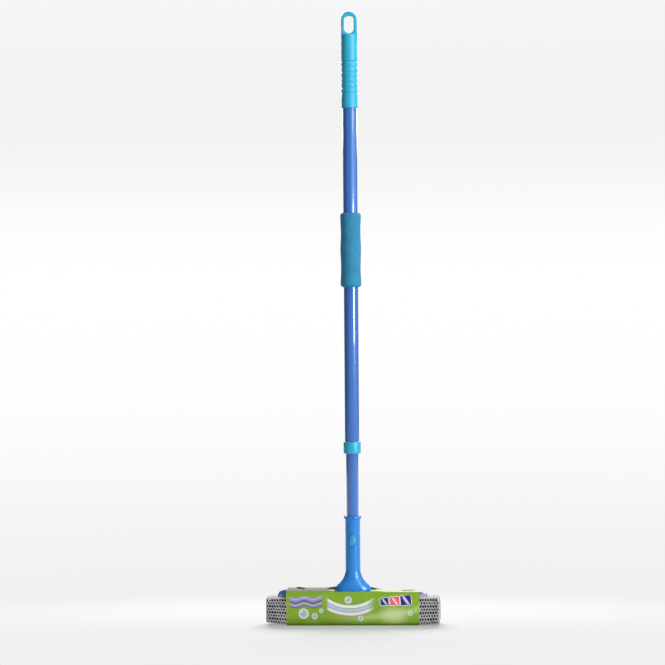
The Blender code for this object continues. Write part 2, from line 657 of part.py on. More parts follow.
def make_blade():
    """Rubber blade: a bead in the jaw and a lip, pressed down wherever the card bridges it."""
    half = FLANGE_LENGTH / 2 - STOP_LENGTH - CLEARANCE
    bead = BEAD_WIDTH / 2
    root = LIP_ROOT_THICKNESS / 2
    tip = LIP_TIP_THICKNESS / 2
    back = JAW_WALL + CLEARANCE
    shoulder = back + BEAD_DEPTH
    sections = []
    for station in range(BLADE_STATIONS + 1):
        along = -half + station * 2 * half / BLADE_STATIONS
        end, lean = lip_end(lip_freedom(abs(along)))
        side = (-math.sin(lean) * tip, math.cos(lean) * tip)
        section = [
            jaw_point(back, -bead), jaw_point(shoulder, -bead), jaw_point(shoulder, -root),
            jaw_point(JAW_DEPTH, -root), (end[0] - side[0], end[1] - side[1]),
            (end[0] + side[0], end[1] + side[1]), jaw_point(JAW_DEPTH, root),
            jaw_point(shoulder, root), jaw_point(shoulder, bead), jaw_point(back, bead)]
        sections.append([(along, deep, up) for deep, up in section])
    return place("rubber_blade", loft_mesh("rubber_blade", sections), BLACK_RUBBER)


def lip_end(free):
    """The lip's end (y, z) and its lean, from pressed under the card, 0, to standing free, 1."""
    mouth = jaw_point(JAW_DEPTH, 0)
    deep = SLEEVE_DEPTH / 2 - CARD_THICKNESS - LIP_BACK_GAP - LIP_DRAW_BACK * free
    up = SLEEVE_HEIGHT - CARD_THICKNESS - CLEARANCE - LIP_TIP_THICKNESS + LIP_RISE * free
    return (deep, up), math.atan2(up - mouth[1], deep - mouth[0])


def lip_slot_edges():
    """Front and back edges of the card's slots, a gap clear of the standing lip on either side."""
    (deep, up), lean = lip_end(1)
    fall = (up - (SLEEVE_HEIGHT - CARD_THICKNESS)) / math.tan(lean)
    side = LIP_ROOT_THICKNESS / 2 / math.sin(lean)
    return deep - fall - side - LIP_SLOT_GAP, deep + LIP_TIP_THICKNESS / 2 + LIP_SLOT_GAP


def lip_freedom(along):
    """How far the lip stands up at a distance from the neck: 0 under the card, 1 in a slot."""
    inner = ease(NECK_SLOT_REACH - along)
    outer = ease(along - LIP_SLOT_START) * ease(LIP_SLOT_END - along)
    return max(inner, outer)


def ease(inside):
    """A smooth step from 0 to 1 that starts a margin inside a slot's edge."""
    share = min(max((inside - LIP_SLOT_MARGIN) / LIP_SLOT_EASE, 0), 1)
    return share * share * (3 - 2 * share)


def make_stops():
    """Two plugs that keep the blade from sliding out of the jaw."""
    outline = slot_outline(CLEARANCE, JAW_WALL + CLEARANCE, JAW_DEPTH)
    for side, label in ((-1, "left"), (1, "right")):
        stop = outline_mesh(f"blade_end_stop_{label}", [outline], STOP_LENGTH, FACING_SIDE)
        location = (side * (FLANGE_LENGTH - STOP_LENGTH) / 2, 0, 0)
        place(f"blade_end_stop_{label}", stop, SKY_BLUE_PLASTIC, location)


def make_sleeve():
    """Card sleeve round the head, open at both ends, cut out for the neck and the lip."""
    half = SLEEVE_DEPTH / 2
    outer = rounded_rectangle(-half, half, 0, SLEEVE_HEIGHT, FOLD_RADIUS, FOLD_STEPS)
    card = CARD_THICKNESS
    inner = rounded_rectangle(
        card - half, half - card, card, SLEEVE_HEIGHT - card, FOLD_RADIUS - card, FOLD_STEPS)
    wrap = outline_mesh("card_sleeve", [outer, inner], SLEEVE_LENGTH, FACING_SIDE)
    sleeve = place("card_sleeve", wrap, GREEN_CARD)
    turn = [2 * math.pi * step / ROUND_STEPS for step in range(ROUND_STEPS)]
    hole_half_depth = half + NECK_HOLE_OVERREACH
    neck_loop = [
        (NECK_HOLE_REACH * math.cos(a), hole_half_depth * math.sin(a) - NECK_HOLE_FORWARD)
        for a in turn]
    depth = NECK_NOTCH_DEPTH + OVERRUN
    top = (0, 0, SLEEVE_HEIGHT + (OVERRUN - NECK_NOTCH_DEPTH) / 2)
    hole = outline_mesh("neck_hole", [neck_loop], depth, FACING_UP)
    combine(sleeve, place("neck_hole", hole, None, top), "DIFFERENCE")
    spans = ((-NECK_SLOT_REACH, NECK_SLOT_REACH), (LIP_SLOT_START, LIP_SLOT_END),
             (-LIP_SLOT_END, -LIP_SLOT_START))
    front, back = lip_slot_edges()
    for index, (left, right) in enumerate(spans):
        slot_loop = rounded_rectangle(left, right, front, back, LIP_SLOT_CORNER_RADIUS, FOLD_STEPS)
        slot = outline_mesh(f"lip_slot_{index}", [slot_loop], depth, FACING_UP)
        combine(sleeve, place(f"lip_slot_{index}", slot, None, top), "DIFFERENCE")
    return sleeve


def pin_places():
    """Heights of the cross pins through the adapter's and the lock plug's spigots."""
    return (
        INNER_TUBE_BOTTOM + SPIGOT_LENGTH / 3, INNER_TUBE_TOP - PLUG_SPIGOT_LENGTH / 2)


def pin_rods(radius, half_length):
    """Rods along X at the cross pins' places."""
    return [(radius, (-half_length, 0, up), (half_length, 0, up)) for up in pin_places()]


def make_lower_pole():
    """Inner tube with the adapter at its foot, the cross pins and the twist lock on top."""
    inner = INNER_TUBE_RADIUS - TUBE_WALL
    tube = turned(
        "inner_tube", tube_profile(INNER_TUBE_RADIUS, inner, INNER_TUBE_LENGTH), BLUE_PAINT,
        INNER_TUBE_BOTTOM)
    rods = pin_rods(PIN_HOLE_RADIUS, INNER_TUBE_RADIUS + OVERRUN)
    pin_holes = place("pin_holes", cylinder_mesh("pin_holes", rods, ROUND_STEPS // 2))
    combine(tube, pin_holes, "DIFFERENCE")

    foot = SOCKET_FLOOR + CLEARANCE
    shoulder = ADAPTER_SHOULDER - foot
    top = INNER_TUBE_BOTTOM + SPIGOT_LENGTH - foot
    adapter = turned(
        "pole_adapter",
        [(0, top), (SPIGOT_RADIUS, top), (SPIGOT_RADIUS, shoulder), (INNER_TUBE_RADIUS, shoulder),
         (INNER_TUBE_RADIUS, 0), (ADAPTER_BORE_RADIUS, 0), (ADAPTER_BORE_RADIUS, shoulder - TONGUE_LAND),
         (0, shoulder - TONGUE_LAND)],
        CYAN_PLASTIC, foot, closed=False)
    combine(adapter, pin_holes, "DIFFERENCE")
    opening_low = TONGUE_HINGE_HEIGHT - CLEARANCE
    opening_high = ADAPTER_SHOULDER - TONGUE_LAND
    opening_depth = INNER_TUBE_RADIUS + OVERRUN
    opening = box_mesh(
        "tongue_opening",
        (TONGUE_WIDTH + 2 * CLEARANCE, opening_depth, opening_high - opening_low),
        (0, -opening_depth / 2, (opening_high + opening_low) / 2))
    combine(adapter, place("tongue_opening", opening), "DIFFERENCE")

    for label, rod in zip(("adapter_pin", "plug_pin"), pin_rods(PIN_RADIUS, INNER_TUBE_RADIUS - CLEARANCE)):
        place(label, cylinder_mesh(label, [rod], ROUND_STEPS // 2), STEEL)

    flange_low = PLUG_FLANGE_BOTTOM - (INNER_TUBE_TOP - PLUG_SPIGOT_LENGTH)
    flange_high = flange_low + PLUG_FLANGE_THICKNESS
    spindle = SPINDLE_TOP - (INNER_TUBE_TOP - PLUG_SPIGOT_LENGTH)
    well_radius = CAP_SHANK_RADIUS + CLEARANCE
    well = spindle - CAP_SHANK_LENGTH - CLEARANCE
    plug = turned(
        "lock_plug",
        [(0, well), (well_radius, well), (well_radius, spindle), (SPINDLE_RADIUS, spindle),
         (SPINDLE_RADIUS, flange_high), (LOCK_RADIUS, flange_high), (LOCK_RADIUS, flange_low),
         (SPIGOT_RADIUS, flange_low), (SPIGOT_RADIUS, 0), (0, 0)],
        GREY_NYLON, INNER_TUBE_TOP - PLUG_SPIGOT_LENGTH, closed=False)
    combine(plug, pin_holes, "DIFFERENCE")

    head = CAP_SHANK_LENGTH + CLEARANCE
    turned(
        "lock_cap_screw",
        [(0, head + CAP_HEAD_THICKNESS), (CAP_HEAD_RADIUS, head + CAP_HEAD_THICKNESS),
         (CAP_HEAD_RADIUS, head), (CAP_SHANK_RADIUS, head), (CAP_SHANK_RADIUS, 0), (0, 0)],
        STEEL, SPINDLE_TOP - CAP_SHANK_LENGTH, closed=False)

    expander = turned(
        "lock_expander", tube_profile(LOCK_RADIUS, SPINDLE_RADIUS + CLEARANCE, EXPANDER_LENGTH),
        GREY_NYLON, EXPANDER_BOTTOM)
    slit = box_mesh(
        "expander_slit", (EXPANDER_SLIT, LOCK_RADIUS + OVERRUN, EXPANDER_LENGTH + 2 * OVERRUN),
        (0, (LOCK_RADIUS + OVERRUN) / 2, EXPANDER_BOTTOM + EXPANDER_LENGTH / 2))
    combine(expander, place("expander_slit", slit), "DIFFERENCE")


def make_tongue():
    """Spring tongue of the adapter, hinged at its lower end, with the leaf-shaped button."""
    hinge = bpy.data.objects.new("tongue_hinge", None)
    hinge.location = (0, -(INNER_TUBE_RADIUS - TONGUE_THICKNESS / 2), TONGUE_HINGE_HEIGHT)
    bpy.data.collections["window_squeegee"].objects.link(hinge)
    length = TONGUE_TOP - TONGUE_HINGE_HEIGHT
    strip = box_mesh(
        "release_tongue", (TONGUE_WIDTH, TONGUE_THICKNESS + OVERRUN, length),
        (0, -(INNER_TUBE_RADIUS - TONGUE_THICKNESS + (TONGUE_THICKNESS + OVERRUN) / 2),
         TONGUE_HINGE_HEIGHT + length / 2))
    tongue = place("release_tongue", strip, CYAN_PLASTIC)
    body = [(INNER_TUBE_RADIUS, (0, 0, SOCKET_FLOOR), (0, 0, RIM_TOP))]
    combine(tongue, place("tongue_round", cylinder_mesh("tongue_round", body)), "INTERSECT")
    leaf = place("button_leaf", leaf_mesh("button_leaf", 0, BARREL_RADIUS + OVERRUN))
    crown = [(BARREL_RADIUS - BUTTON_RECESS, (0, 0, SOCKET_FLOOR), (0, 0, RIM_TOP))]
    combine(leaf, place("button_crown", cylinder_mesh("button_crown", crown)), "INTERSECT")
    combine(tongue, leaf, "UNION")
    tongue.data.transform(Matrix.Translation(-hinge.location))
    tongue.parent = hinge
    return tongue


def make_upper_pole():
    """Outer tube with its collar and foam grip."""
    inner = OUTER_TUBE_RADIUS - TUBE_WALL
    turned(
        "outer_tube", tube_profile(OUTER_TUBE_RADIUS, inner, OUTER_TUBE_LENGTH), BLUE_PAINT,
        OUTER_TUBE_BOTTOM)
    turned(
        "tube_collar",
        [(COLLAR_RADIUS - COLLAR_CHAMFER, COLLAR_LENGTH), (COLLAR_RADIUS, COLLAR_LENGTH - COLLAR_CHAMFER),
         (COLLAR_RADIUS, COLLAR_CHAMFER), (COLLAR_RADIUS - COLLAR_CHAMFER, 0),
         (INNER_TUBE_RADIUS + CLEARANCE, 0), (INNER_TUBE_RADIUS + CLEARANCE, COLLAR_LIP),
         (TUBE_SEAT_RADIUS, COLLAR_LIP), (TUBE_SEAT_RADIUS, COLLAR_LENGTH)],
        CYAN_PLASTIC, COLLAR_BOTTOM)
    turned("foam_grip", foam_profile(), TEAL_FOAM, FOAM_BOTTOM)


def foam_profile():
    """Section of the foam grip: round ends and two shallow waists."""
    profile = [(TUBE_SEAT_RADIUS, FOAM_LENGTH), (FOAM_RADIUS - FOAM_END_RADIUS, FOAM_LENGTH)]
    run = FOAM_LENGTH - 2 * FOAM_END_RADIUS
    for step in range(FOAM_STEPS + 1):
        share = 1 - step / FOAM_STEPS
        dip = FOAM_DIP * (1 - math.cos(4 * math.pi * share))
        profile.append((FOAM_RADIUS - dip, FOAM_END_RADIUS + share * run))
    profile += [(FOAM_RADIUS - FOAM_END_RADIUS, 0), (TUBE_SEAT_RADIUS, 0)]
    return profile


def make_hanger():
    """Hanger grip: a ribbed cap on the tube's top, with flat cheeks and a hanging slot."""
    top = HANGER_TOP - HANGER_BOTTOM
    profile = []
    for step in range(DOME_STEPS + 1):
        angle = math.pi / 2 * step / DOME_STEPS
        rise = HANGER_RADIUS * (1 - math.cos(angle))
        profile.append((HANGER_RADIUS * math.sin(angle), top - rise))
    waist = HANGER_RADIUS - GROOVE_DEPTH
    for groove in reversed(range(GROOVES)):
        middle = GROOVE_START + groove * GROOVE_PITCH
        profile += [
            (HANGER_RADIUS, middle + GROOVE_WIDTH / 2), (waist, middle),
            (HANGER_RADIUS, middle - GROOVE_WIDTH / 2)]
    bore_top = OUTER_TUBE_TOP + CLEARANCE - HANGER_BOTTOM
    profile += [
        (HANGER_RADIUS, HANGER_CHAMFER), (TUBE_SEAT_RADIUS, 0), (TUBE_SEAT_RADIUS, bore_top),
        (0, bore_top)]
    hanger = turned("hanger_grip", profile, CYAN_PLASTIC, HANGER_BOTTOM, closed=False)
    cheek = HANGER_CHEEK_DEPTH / 2
    foot = OUTER_TUBE_TOP + CLEARANCE + HANGER_CROWN_WALL + HANGER_CHEEK_RADIUS
    reach = HANGER_RADIUS - cheek + OVERRUN
    for side in (-1, 1):
        loop = [(side * (cheek + reach), HANGER_TOP + OVERRUN), (side * cheek, HANGER_TOP + OVERRUN)]
        for step in range(CHEEK_STEPS + 1):
            angle = math.acos(1 - reach / HANGER_CHEEK_RADIUS) * step / CHEEK_STEPS
            across = cheek + HANGER_CHEEK_RADIUS * (1 - math.cos(angle))
            loop.append((side * across, foot - HANGER_CHEEK_RADIUS * math.sin(angle)))
        label = "front_cheek_cut" if side < 0 else "rear_cheek_cut"
        cheek_cut = outline_mesh(label, [loop], 2 * (HANGER_RADIUS + OVERRUN), FACING_SIDE)
        combine(hanger, place(label, cheek_cut), "DIFFERENCE")
    middle = HANGER_TOP - SLOT_DROP
    slot_loop = rounded_rectangle(
        -SLOT_WIDTH / 2, SLOT_WIDTH / 2, middle - SLOT_LENGTH / 2, middle + SLOT_LENGTH / 2,
        SLOT_WIDTH / 2, SLOT_STEPS)
    slot = outline_mesh("hanging_slot", [slot_loop], 2 * (HANGER_RADIUS + OVERRUN), FACING_FRONT)
    combine(hanger, place("hanging_slot", slot), "DIFFERENCE")
    return hanger


def main():
    """Build the whole squeegee."""
    clear_scene()
    make_sleeve()
    make_net()
    make_seams()
    make_sponge()
    make_backing()
    make_screws()
    make_frame()
    make_blade()
    make_stops()
    make_lower_pole()
    make_tongue()
    make_upper_pole()
    make_hanger()


main()
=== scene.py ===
"""Telescopic window squeegee in its card sleeve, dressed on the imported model.

The pieces are modelled at their true size, in metres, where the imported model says. +Z is up the
pole, -Y is the front and +X is along the head to the right.
"""
import math

import bmesh
import bpy
import numpy as np
from bpy.props import FloatProperty, FloatVectorProperty, PointerProperty
from mathutils import Matrix, Vector


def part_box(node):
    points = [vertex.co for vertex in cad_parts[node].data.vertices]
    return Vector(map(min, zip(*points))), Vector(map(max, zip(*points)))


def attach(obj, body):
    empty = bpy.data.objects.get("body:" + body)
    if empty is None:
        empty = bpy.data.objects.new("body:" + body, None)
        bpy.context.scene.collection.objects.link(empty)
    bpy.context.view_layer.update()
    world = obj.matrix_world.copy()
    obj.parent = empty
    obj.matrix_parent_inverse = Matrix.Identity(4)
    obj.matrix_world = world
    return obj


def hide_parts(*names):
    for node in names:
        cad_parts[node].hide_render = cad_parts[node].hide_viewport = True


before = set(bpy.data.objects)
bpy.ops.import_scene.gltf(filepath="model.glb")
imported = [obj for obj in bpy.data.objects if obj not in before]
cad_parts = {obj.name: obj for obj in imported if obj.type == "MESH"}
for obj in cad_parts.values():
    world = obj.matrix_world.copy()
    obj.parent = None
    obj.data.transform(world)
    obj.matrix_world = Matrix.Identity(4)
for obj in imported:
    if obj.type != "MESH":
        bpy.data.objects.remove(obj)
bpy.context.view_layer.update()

bl_info = {
    "name": "Window Squeegee",
    "version": (1, 0, 0),
    "blender": (4, 5, 0),
    "location": "View3D > Sidebar > Squeegee",
    "description": "Models a telescopic window squeegee in a card sleeve, and its studio",
    "category": "Add Mesh",
}

LOW = {node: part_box(node)[0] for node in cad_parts}
HIGH = {node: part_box(node)[1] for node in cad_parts}

# Modelling
SIDES = 96
MERGE = 0.000001
SAME_PLACE = 0.00002
STUB = 0.001
BEYOND = 0.002
SMOOTH_ANGLE = math.radians(32)
FILLET_STEPS = 5
ROUND_STEPS = 6
ROUND_HANDLE = 0.5523
CORNER_REACH = 0.49

# Floor and sky as the camera sees them: share and grey of the floor's own glow near the piece, distances
# at which it takes over and turns white, and heights at which the sky turns grey and pale again
FLOOR_SHARE = 0.33
FLOOR_GLOW = 1.0
FLOOR_FAR = (0.08, 0.45)
FLOOR_WHITE = 3.0
SKY_GREY = (0.0, 0.062)
SKY_PALE = (0.07, 0.105)

# Gap between neighbouring pieces, and the wall of both tubes
GAP = 0.0003
TUBE_WALL = 0.0005
PIN_HOLE_RADIUS = 0.0018

# Foam grip
FOAM_END = 0.0042
FOAM_STATIONS = 64

# Hanger grip
BORE_EDGE = 0.0003
FOOT_EDGE = 0.0012
FOOT_HEIGHT = 0.003
GROOVES = 7
GROOVE_PITCH = 0.00803
GROOVE_START = 0.0230
GROOVE_HALF_WIDTH = 0.0024
GROOVE_STEPS = 6
CHEEK_HALF_DEPTH = 0.007
CHEEK_FOOT = 0.0138
CHEEK_HOLLOW = 0.0012
CHEEK_SHELF_EDGE = 0.0008
CHEEK_RISES = (
    -0.0040, -0.0008, -0.00075, -0.0006, -0.0004, -0.0002, 0, 0.00003, 0.0002, 0.0004, 0.0008, 0.0012, 0.003)
CROWN_START = 0.006
CROWN_STEPS = 12
DOME_STEPS = 15
EYE_WIDTH = 0.0145
EYE_HEIGHT = 0.0274
EYE_DROP = 0.0208
EYE_EDGE_RADIUS = 0.0017

# Head frame
WEB_HALF_THICKNESS = 0.002
WEB_FOOT = (-0.1171, 0.1152)
WEB_TOP = (
    (-0.1171, 0.0465, 0.003), (-0.1148, 0.0508, 0.004), (-0.1095, 0.0535, 0.010), (-0.1036, 0.0541, 0.010),
    (-0.0980, 0.0536, 0.010), (-0.0600, 0.0525, 0.010), (0.0200, 0.0525, 0.020), (0.0450, 0.0503, 0.020),
    (0.0620, 0.0496, 0.020), (0.1036, 0.0499, 0.010), (0.1075, 0.0491, 0.006), (0.1113, 0.0466, 0.006),
    (0.1150, 0.0433, 0.002))
FLANGE_DEPTH = 0.012
FLANGE_THICKNESS = 0.002
BOSS_RADIUS = 0.004
BOSS_HEIGHT = 0.0081
PILOT_RADIUS = 0.00175
NECK_LIFT = 0.0014
SOCKET_RADIUS = 0.0098
BARREL_RADIUS = 0.0117
FLARE_LIFT = 0.0149
FLARE_RADIUS = 0.029
FLARE_TURN = math.radians(55)
SKIRT = ((0.0284, 0.0115), (0.0280, 0.0138), (0.0270, 0.0161), (0.0256, 0.0177))
FLARE_BACK = 0.007
FLARE_FRONT = 0.0152
FLARE_STEPS = 24
FOOT_STEPS = 6
MOUTH_DROP = 0.0010
RIM_HEIGHT = 0.0038
RIM_STEP = 0.0022
SOCKET_FLOOR = 0.0813

# Jaw and rubber blade, measured along the blade's lean from the web
LEAN = math.radians(32)
JAW_START = (0.002, 0.0025)
JAW_ROOT = -0.001
JAW_DEPTH = 0.0065
JAW_HALF_WIDTH = 0.0030
JAW_WALL = 0.0013
JAW_MOUTH_EDGE = 0.0003
JAW_OUTER_EDGE = 0.0004
BEAD_HALF = 0.0016
BEAD_DEPTH = 0.0022
LIP_ROOT_HALF = 0.0009
LIP_TIP_HALF = 0.0005
LIP_PRESSED = (0.0197, 0.0529)
LIP_FREE = (0.0180, 0.0558)
LIP_EASE = 0.004
LIP_ROUND = ((-1, -0.0003), (-0.7, -0.00005), (0, 0), (0.7, -0.00005), (1, -0.0003))
BLADE_STATIONS = 72

# Card sleeve
CARD = 0.0006
FOLD = 0.002
LOWER_FOLD = 0.006
FOLD_STEPS = 7
CARD_STATIONS = 40
DENT_START = 0.018
DENT_END = 0.062
DENT_BACK = 0.0048
DENT_FRONT = 0.0021
NOTCH = 0.0020
CUT_OUT_HEIGHT = 0.008
NECK_HOLE = (
    (-0.0465, 0.0010, 0.0015), (-0.0330, -0.0060, 0.004), (-0.0285, -0.0120, 0.003),
    (-0.0262, -0.0260, 0.001), (0.0262, -0.0260, 0.001), (0.0285, -0.0120, 0.003),
    (0.0330, -0.0060, 0.004), (0.0465, 0.0010, 0.0015), (0.0360, 0.0150, 0.010),
    (0.0150, 0.0197, 0.012), (-0.0150, 0.0197, 0.012), (-0.0360, 0.0150, 0.010))
LEFT_SLOT = (
    (-0.0905, 0.0130, 0.001), (-0.0845, 0.0020, 0.004), (-0.0745, -0.0060, 0.001), (-0.0748, 0.0060, 0.004),
    (-0.0800, 0.0196, 0.003), (-0.0905, 0.0196, 0.001))
RIGHT_SLOT = (
    (0.0745, 0.0110, 0.001), (0.0860, 0.0125, 0.003), (0.0985, 0.0150, 0.001), (0.0985, 0.0196, 0.001),
    (0.0745, 0.0196, 0.001))
LIP_SLOTS = (
    ((-0.0935, -0.0725), (0.0568, 0.0544)),
    ((-0.0480, -0.0260, 0.0260, 0.0500), (0.0538, 0.0568, 0.0558, 0.0508)),
    ((0.0700, 0.1010), (0.0506, 0.0510)))

# Places on the card's print: top panel, bottom panel, end of the painted shade on the top panel's left, folds
# and cut ends
TOP_PANEL = (0.0533, 0.0541)
BOTTOM_PANEL = (0.0014, 0.0022)
# Span where the painted shade on the top panel's left fades out
PAINTED_SHADE_END = (-0.042, -0.022)
FOLD_DEPTH = 0.0212
FOLD_HEIGHT = 0.0538
CUT_END = 0.1024

# Release tongue
LEAF_HEIGHT = 0.1310
LEAF_HALF_WIDTH = 0.0052
LEAF_HALF_LENGTH = 0.0100
LEAF_TIP_SHARE = 0.6
LEAF_STEPS = 12
CROWN_RADIUS = 0.0115
TONGUE_DEPTH = 0.002
WINDOW_GAP = 0.00035
WINDOW_RINGS = ((-0.0068, 0), (-0.0102, 0), (-0.0110, 0.00025), (-0.0121, 0.0012))
CROWN_RINGS = (
    (-0.0100, 0), (-0.0106, -0.0001), (-0.0110, -0.0004), (-0.0113, -0.0010), (-0.01145, -0.0020),
    (-0.0115, -0.0034))

# Net round the sponge: its section, and the shares and growths along the head
NET_WALL = 0.0006
NET_INSET = 0.0004
NET_CORNER = 0.0026
NET_CORNER_STEPS = 8
NET_ROWS = 32
NET_LIFTS = {-1: 0.0040, 1: 0.0016}
LIFT_START = 0.085
NET_START = 0.1025
NET_TURN = 0.0018
NET_STATIONS = 8
SLIT_HALF = 0.0065
SLIT_CLOSES = (0.1135, 0.1175)
LIP_GAP = 0.0024
LIP_HEIGHT = 0.0043
LIP_RISES = (0.1022, 0.1040)
LIP_STEPS = ((0, 1, 0), (0.0006, 0.35, 1), (0.0022, 0, 1))
LIP_LIFT = 0.0003
SWELL = 0.0004
SWELL_START = 0.103
SWELL_LENGTH = 0.028
END_START = 0.1
END_DOME = 0.0006
END_NARROWING = 0.985
END_HEIGHT_SHARE = 0.867

# Net's strands and holes, in shares of a row where they run round the sponge
STRAND_LIFT = 0.0003
STRAND_SLANT = 0.11
HOLE_POINTS = 16
HOLE_NARROWEST = 0.92
HOLE_LOWEST = 0.94
WIDTH_WOBBLE = 0.16
HEIGHT_WOBBLE = 0.12
WOBBLE_PER_ROW = 12.9
WOBBLE_PER_COLUMN = 7.3
HOLE_HEIGHT = 0.39
HOLE_GROWTH = (1.08, 0.86)

# Seam thread
STITCHES = 8
STITCH_STEPS = 6
STITCH_LIFT = 0.00035
SEAM_GAP = 0.0011
SEAM_INSET = 0.0004

# Sponge
SPONGE_INSET = 0.0006
SPONGE_TOP_INSET = 0.0002
SPONGE_EDGE = 0.0045
SPONGE_CUTS = 66
SPONGE_SIDE_CUTS = 10

# Camera, at the photograph's angle: place, yaw, pitch and roll
CAMERA_PLACE = (0.1714, -4.1918, 0.5378)
CAMERA_TURN = (2.74, -1.154, -0.426)


def colour_setting(name, description, colour):
    """A finish's colour that the user can change."""
    return FloatVectorProperty(
        name=name, description=description, subtype="COLOR", size=4, min=0, max=1, default=(*colour, 1))


def length_setting(name, description, low, high, length):
    """A length that the user can change."""
    return FloatProperty(
        name=name, description=description, unit="LENGTH", min=low, max=high, default=length)


def power_setting(name, lamp, high, power):
    """A lamp's power that the user can change."""
    return FloatProperty(
        name=name, description=f"Power of the {lamp}, in watts", min=0, max=high, default=power)


class SqueegeeColours(bpy.types.PropertyGroup):
    """Colours of the squeegee's finishes."""

    sky_blue: colour_setting("Sky Blue", "Plastic of the head frame", (0.028, 0.235, 0.68))
    cyan: colour_setting("Cyan", "Plastic of the hanger and collar", (0.034, 0.41, 0.61))
    azure: colour_setting("Azure", "Plastic of the button", (0.030, 0.34, 0.62))
    blue_paint: colour_setting("Blue Paint", "Paint on both tubes", (0.048, 0.168, 0.53))
    teal_foam: colour_setting("Teal Foam", "Foam of the hand grip", (0.030, 0.245, 0.43))
    yarn: colour_setting("Yarn", "Yarn of the net", (0.42, 0.41, 0.425))
    lime: colour_setting("Lime", "Ground of the card's print", (0.215, 0.385, 0.022))
    navy: colour_setting("Navy", "Darkest ink of the card", (0.020, 0.018, 0.23))
    coral: colour_setting("Coral", "Red ink of the card", (0.76, 0.13, 0.15))
    lilac: colour_setting("Lilac", "Violet ink of the card", (0.30, 0.26, 0.58))


class SqueegeeSizes(bpy.types.PropertyGroup):
    """Sizes of the details that are modelled on the frame."""

    edge_radius: length_setting("Edge Radius", "Rounding of the moulded edges", 0.0001, 0.001, 0.0005)
    groove_depth: length_setting("Groove Depth", "Depth of the hanger's grip grooves", 0, 0.0012, 0.0009)
    waist_depth: length_setting("Waist Depth", "How far each waist of the foam draws in", 0, 0.002, 0.0008)
    mesh_pitch: length_setting(
        "Mesh Pitch", "Distance between the net's holes along a row", 0.003, 0.006, 0.004)
    hole_width: length_setting("Hole Width", "Width of a hole in the net", 0.001, 0.0035, 0.0029)
    thread_radius: length_setting("Thread Radius", "Radius of the seam thread", 0.0002, 0.0008, 0.0004)


class SqueegeeStudio(bpy.types.PropertyGroup):
    """The studio's camera and lamps."""

    lens: FloatProperty(
        name="Lens", description="Focal length of the camera", unit="CAMERA",
        min=20, max=300, default=146.53)
    surround: FloatProperty(
        name="Surround", description="Strength of the light from all round", subtype="FACTOR",
        min=0, max=2, default=0.27)
    softbox: power_setting("Softbox Power", "softbox at the front right", 200, 50)
    fill: power_setting("Fill Power", "lamp beside the softbox", 100, 38)
    strip: power_setting("Strip Power", "strip light above the softbox", 100, 20)
    back: power_setting("Back Power", "lamp above and behind", 100, 54)


class Wire:
    """A node's output that number expressions can be written with."""

    def __init__(self, finish, node, output):
        self.finish = finish
        self.node = node
        self.socket = node.outputs[output]

    def output(self, name):
        """Another output of the same node."""
        return Wire(self.finish, self.node, name)

    def maths(self, kind, *others):
        """A Math node with this wire as its first value."""
        return self.finish.node("ShaderNodeMath", {"operation": kind}, dict(enumerate((self, *others))))

    def step(self, low, high):
        """A smooth rise from 0 at low to 1 at high."""
        return self.finish.node(
            "ShaderNodeMapRange", {"interpolation_type": "SMOOTHSTEP"},
            {0: self, 1: low, 2: high, 3: 0.0, 4: 1.0})

    def __add__(self, other):
        return self.maths("ADD", other)

    def __sub__(self, other):
        return self.maths("SUBTRACT", other)

    def __rsub__(self, other):
        return self.finish.node("ShaderNodeMath", {"operation": "SUBTRACT"}, {0: other, 1: self})

    def __mul__(self, other):
        return self.maths("MULTIPLY", other)

    def __truediv__(self, other):
        return self.maths("DIVIDE", other)

    def __pow__(self, other):
        return self.maths("POWER", other)

    def __gt__(self, other):
        return self.maths("GREATER_THAN", other)

    def __abs__(self):
        return self.maths("ABSOLUTE")

    __radd__ = __add__
    __rmul__ = __mul__


class Finish:
    """A node tree that is built by expressions, on the Object coordinates of a piece."""

    def __init__(self, tree):
        self.tree = tree

    def node(self, kind, settings=None, values=None, output=0):
        """Add a node, make its settings, then fill or link its sockets."""
        made = self.tree.nodes.new(kind)
        for label, value in (settings or {}).items():
            setattr(made, label, value)
        for label, value in (values or {}).items():
            if isinstance(value, Wire):
                self.tree.links.new(value.socket, made.inputs[label])
            else:
                made.inputs[label].default_value = value
        return Wire(self, made, output)

    def place(self):
        """Object coordinates, in metres."""
        return self.node("ShaderNodeTexCoord", output="Object")

    def axes(self):
        """The three Object coordinates, apart."""
        apart = self.node("ShaderNodeSeparateXYZ", None, {0: self.place()})
        return apart.output("X"), apart.output("Y"), apart.output("Z")

    def spread(self, stretch):
        """Object coordinates, stretched along each axis."""
        return self.node("ShaderNodeVectorMath", {"operation": "MULTIPLY"}, {0: self.place(), 1: stretch})

    def reach(self, stretch=(1, 1, 1)):
        """Distance from the origin, on stretched axes."""
        return self.node(
            "ShaderNodeVectorMath", {"operation": "LENGTH"}, {0: self.spread(stretch)}, output="Value")

    def noise(self, scale, detail=2.0, stretch=(1, 1, 1)):
        """Noise of so many cycles a metre, about 0.5."""
        values = {"Vector": self.spread(stretch), "Scale": scale, "Detail": detail}
        return self.node("ShaderNodeTexNoise", None, values)

    def cells(self, scale):
        """Distance to the middle of the nearest cell, for pores and grain."""
        return self.node("ShaderNodeTexVoronoi", None, {"Vector": self.place(), "Scale": scale})

    def mix(self, share, first, second):
        """Blend two colours."""
        return self.node("ShaderNodeMix", {"data_type": "RGBA"}, {0: share, 6: first, 7: second}, output=2)

    def tint(self, cloud, colour, dark, light):
        """A colour that drifts between a darker and a lighter shade of it."""
        return self.mix(cloud.step(0.3, 0.7), shade(colour, dark), shade(colour, light))

    def end(self, kind, shader):
        """The output node of the tree."""
        made = self.tree.nodes.new(kind)
        self.tree.links.new(shader.socket, made.inputs[0])


